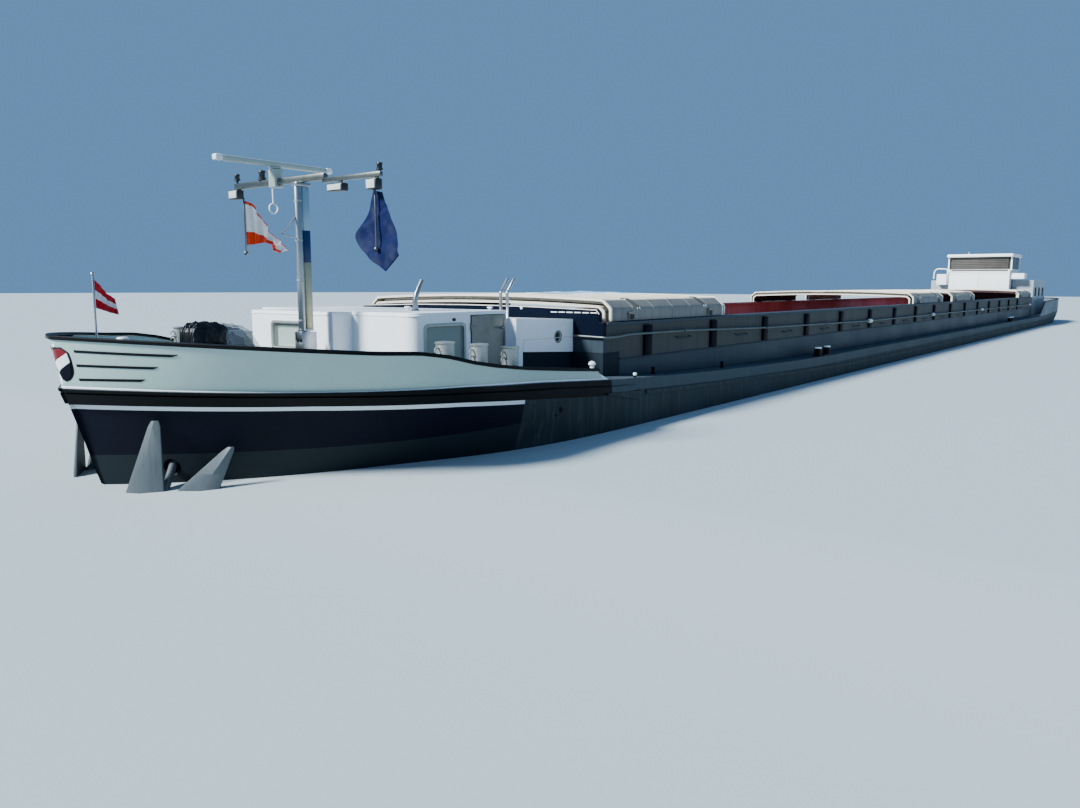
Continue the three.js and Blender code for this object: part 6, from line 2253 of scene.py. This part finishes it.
@dataclass
class Aft:
    """Wheelhouse, deckhouse, crane and propulsion."""
    solids: tuple = (
        # node, second word of the piece's name, finish, body, rounding and its steps
        ("wheelhouse", "walls", WHITE_ENAMEL, SHIP_BODY, 12, 2),
        ("wheelhouse_roof", "slab", WHITE_ENAMEL, SHIP_BODY, 60, 4),
        ("wheelhouse_door", "leaf", WHITE_ENAMEL, "wheelhouse_door", 5, 2),
        ("wing_locker_port", "box", WHITE_ENAMEL, SHIP_BODY, 25, 3),
        ("wing_locker_starboard", "box", WHITE_ENAMEL, SHIP_BODY, 25, 3),
        ("deckhouse", "walls", DECKHOUSE_GREY, SHIP_BODY, 12, 2),
        ("deckhouse_door", "leaf", DECKHOUSE_GREY, "deckhouse_door", 5, 2))

    def build(self) -> None:
        """Builds the aft part of the ship."""
        for node, word, finish, body, edges, steps in self.solids:
            rounded_copy(node, f"{node}_{word}", finish, edges, steps, body)
        dress_nodes(BRIDGE_GLASS, "wheelhouse_glass")
        slats = [block([-24999, -1815, 5884 + 118 * i], [-24985, 1815, 5980 + 118 * i], 5) for i in range(8)]
        piece("wheelhouse_front_blind", joined(slats), BLIND_SLATS)
        ledge = [block([-25010, -1960, 5820], [-24960, 1960, 5868], 10),
                 block([-24998, -1925, 5690], [-24976, 1925, 5706], 4)]
        piece("wheelhouse_ledge", joined(ledge), WHITE_ENAMEL)
        piece("wheelhouse_seam", block([-24996, -6, 4700], [-24990, 6, 5690], 2), RUBBER)
        aerial = joined([drum((-25050, -743, 7060), UP, 180, 14, 4, 16),
                         turned([(0, 0), (60, 0), (60, 30), (40, 50), (0, 50)], (-25050, -743, 7060), UP)])
        piece("wheelhouse_aerial", aerial, WHITE_PLASTIC)
        jib = np.array([[0, 5990], [180, 6080], [700, 6100], [860, 6010], [930, 5860], [950, 5370]], float)
        path = np.stack([np.full(6, -26300.0), -2300 - jib[:, 0], jib[:, 1]], axis=1)
        davit = joined([drum((-26300, -2300, 5500.8), UP, 520, 70, 8, 32), tube(path, 45, AHEAD, 20)])
        piece("crane_davit", davit, WHITE_ENAMEL, "crane", ["crane"])
        dress_nodes(BRONZE, "propeller")
        dress_nodes(SIDE_PAINT, "rudder_port", "rudder_starboard")
        ring = turned([(670, -33300), (780, -33180), (780, -32560), (710, -32500), (670, -32620)],
                      (0, 0, 850), AHEAD, 64, True)
        skeg = prism([[-24500, 0], [-32309, 0], [-32309, 1600], [-24500, 60]], -150, 150, Plane.SIDE)
        boss = turned([(0, 0), (190, 0), (170, 1509), (0, 1509)], (-30800, 0, 850), (-1, 0, 0), 32)
        head = block([-33160, -160, 1560], [-32590, 160, 1700], 20)
        piece("stern_nozzle_and_skeg", joined([ring, skeg, boss, head]), COAMING_PAINT)


@dataclass
class Studio:
    """Camera at the photograph's place, pale floor at the waterline and soft studio light."""
    eye: tuple[float, float, float] = (20.948, 6.2265, 2.4055)
    right: tuple[float, float, float] = (-0.6101, 0.7923, 0.0013)
    top: tuple[float, float, float] = (-0.1083, -0.0850, 0.9905)
    ahead: tuple[float, float, float] = (-0.7849, -0.6041, -0.1376)
    lens: float = 849.66 / 1080 * 36
    step: tuple[float, float, float] = (32500.0, 4500.0, 235.0)

    def floor(self) -> Form:
        """Floor round the ship at the waterline, open inside the hull.

        Rings of points spread from just inside the waterline to far away. Ahead of the shoulder the
        floor lies lower by drop * (3 t^2 - 2 t^3), because the water meets the stem lower there.

        Returns:
            The floor.
        """
        line = LEVELS[3].points(*STATIONS)
        line[:, 1] = np.maximum(line[:, 1] - 200, 1)
        line[:, 0] = np.clip(line[:, 0], -36000, 35900)
        ring = np.concatenate([line, line[::-1] * MIRROR])
        spread = np.array([0, 400, 1200, 2600, 5000, 9000, 16000, 40000, 120000, 300000], float)
        middle = np.clip(ring[:, :1], -34000, 34000) * np.array([1.0, 0.0, 0.0])
        way = ring * np.array([1.0, 1.0, 0.0]) - middle
        way /= np.linalg.norm(way, axis=1, keepdims=True)
        points = ring[None] + spread[:, None, None] * way[None]
        start, length, drop = self.step
        t = np.clip((points[..., 0] - start) / length, 0, 1)
        points[..., 2] = WATERLINE - drop * (3 * t ** 2 - 2 * t ** 3)
        return grid(points, round_columns=True)

    def build(self) -> None:
        """Builds the studio."""
        camera = bpy.data.cameras.new("camera")
        camera.sensor_width = 36.0
        camera.lens = self.lens
        camera.clip_end = 500.0
        seat = stand("camera", camera)
        turn = Matrix([self.right, self.top, [-v for v in self.ahead]]).transposed()
        seat.matrix_world = Matrix.Translation(self.eye) @ turn.to_4x4()
        bpy.context.scene.camera = seat
        floor = stand("floor", mesh_of("floor", self.floor()))
        floor.data.shade_smooth()
        graph = Graph("matt_floor")
        floor.data.materials.append(graph.finish(Base_Color=linear("#A9B4B8"), Roughness=0.85))
        world = bpy.data.worlds.new("studio")
        bpy.context.scene.world = world
        world.use_nodes = True
        back = world.node_tree.nodes["Background"]
        back.inputs["Color"].default_value = linear("#80B9F6")
        back.inputs["Strength"].default_value = 0.58
        for name, way, power, angle, colour in (
                ("key", (-0.72, 0.34, -0.6), 10.2, 12.0, "#F6FDFF"),
                ("fill", (-0.25, -0.85, -0.45), 0.35, 60.0, "#C4DAFF")):
            sun = bpy.data.lights.new(name, "SUN")
            sun.energy = power
            sun.angle = math.radians(angle)
            sun.color = linear(colour)[:3]
            lamp = stand(name, sun)
            lamp.visible_glossy = name == "key"
            lamp.rotation_mode = "QUATERNION"
            lamp.rotation_quaternion = Vector(way).to_track_quat("-Z", "Y")


def main() -> None:
    """Builds the barge piece by piece."""
    logging.basicConfig(level=logging.INFO, format="%(name)s: %(message)s")
    for part in (Studio, Hull, Bow, Stern, DeckFittings, Anchors, Coamings):
        part().build()
    for number, size, front in COVERS:
        name = f"cover_{number}_{size.name.lower()}"
        HatchCover(name, size, front, SHIP_BODY if name == FIXED_COVER else name).build()
    for part in (ForeCabin, Locker, Mast, Radar, Flags, Winch, Aft):
        part().build()


if __name__ == "__main__":
    main()
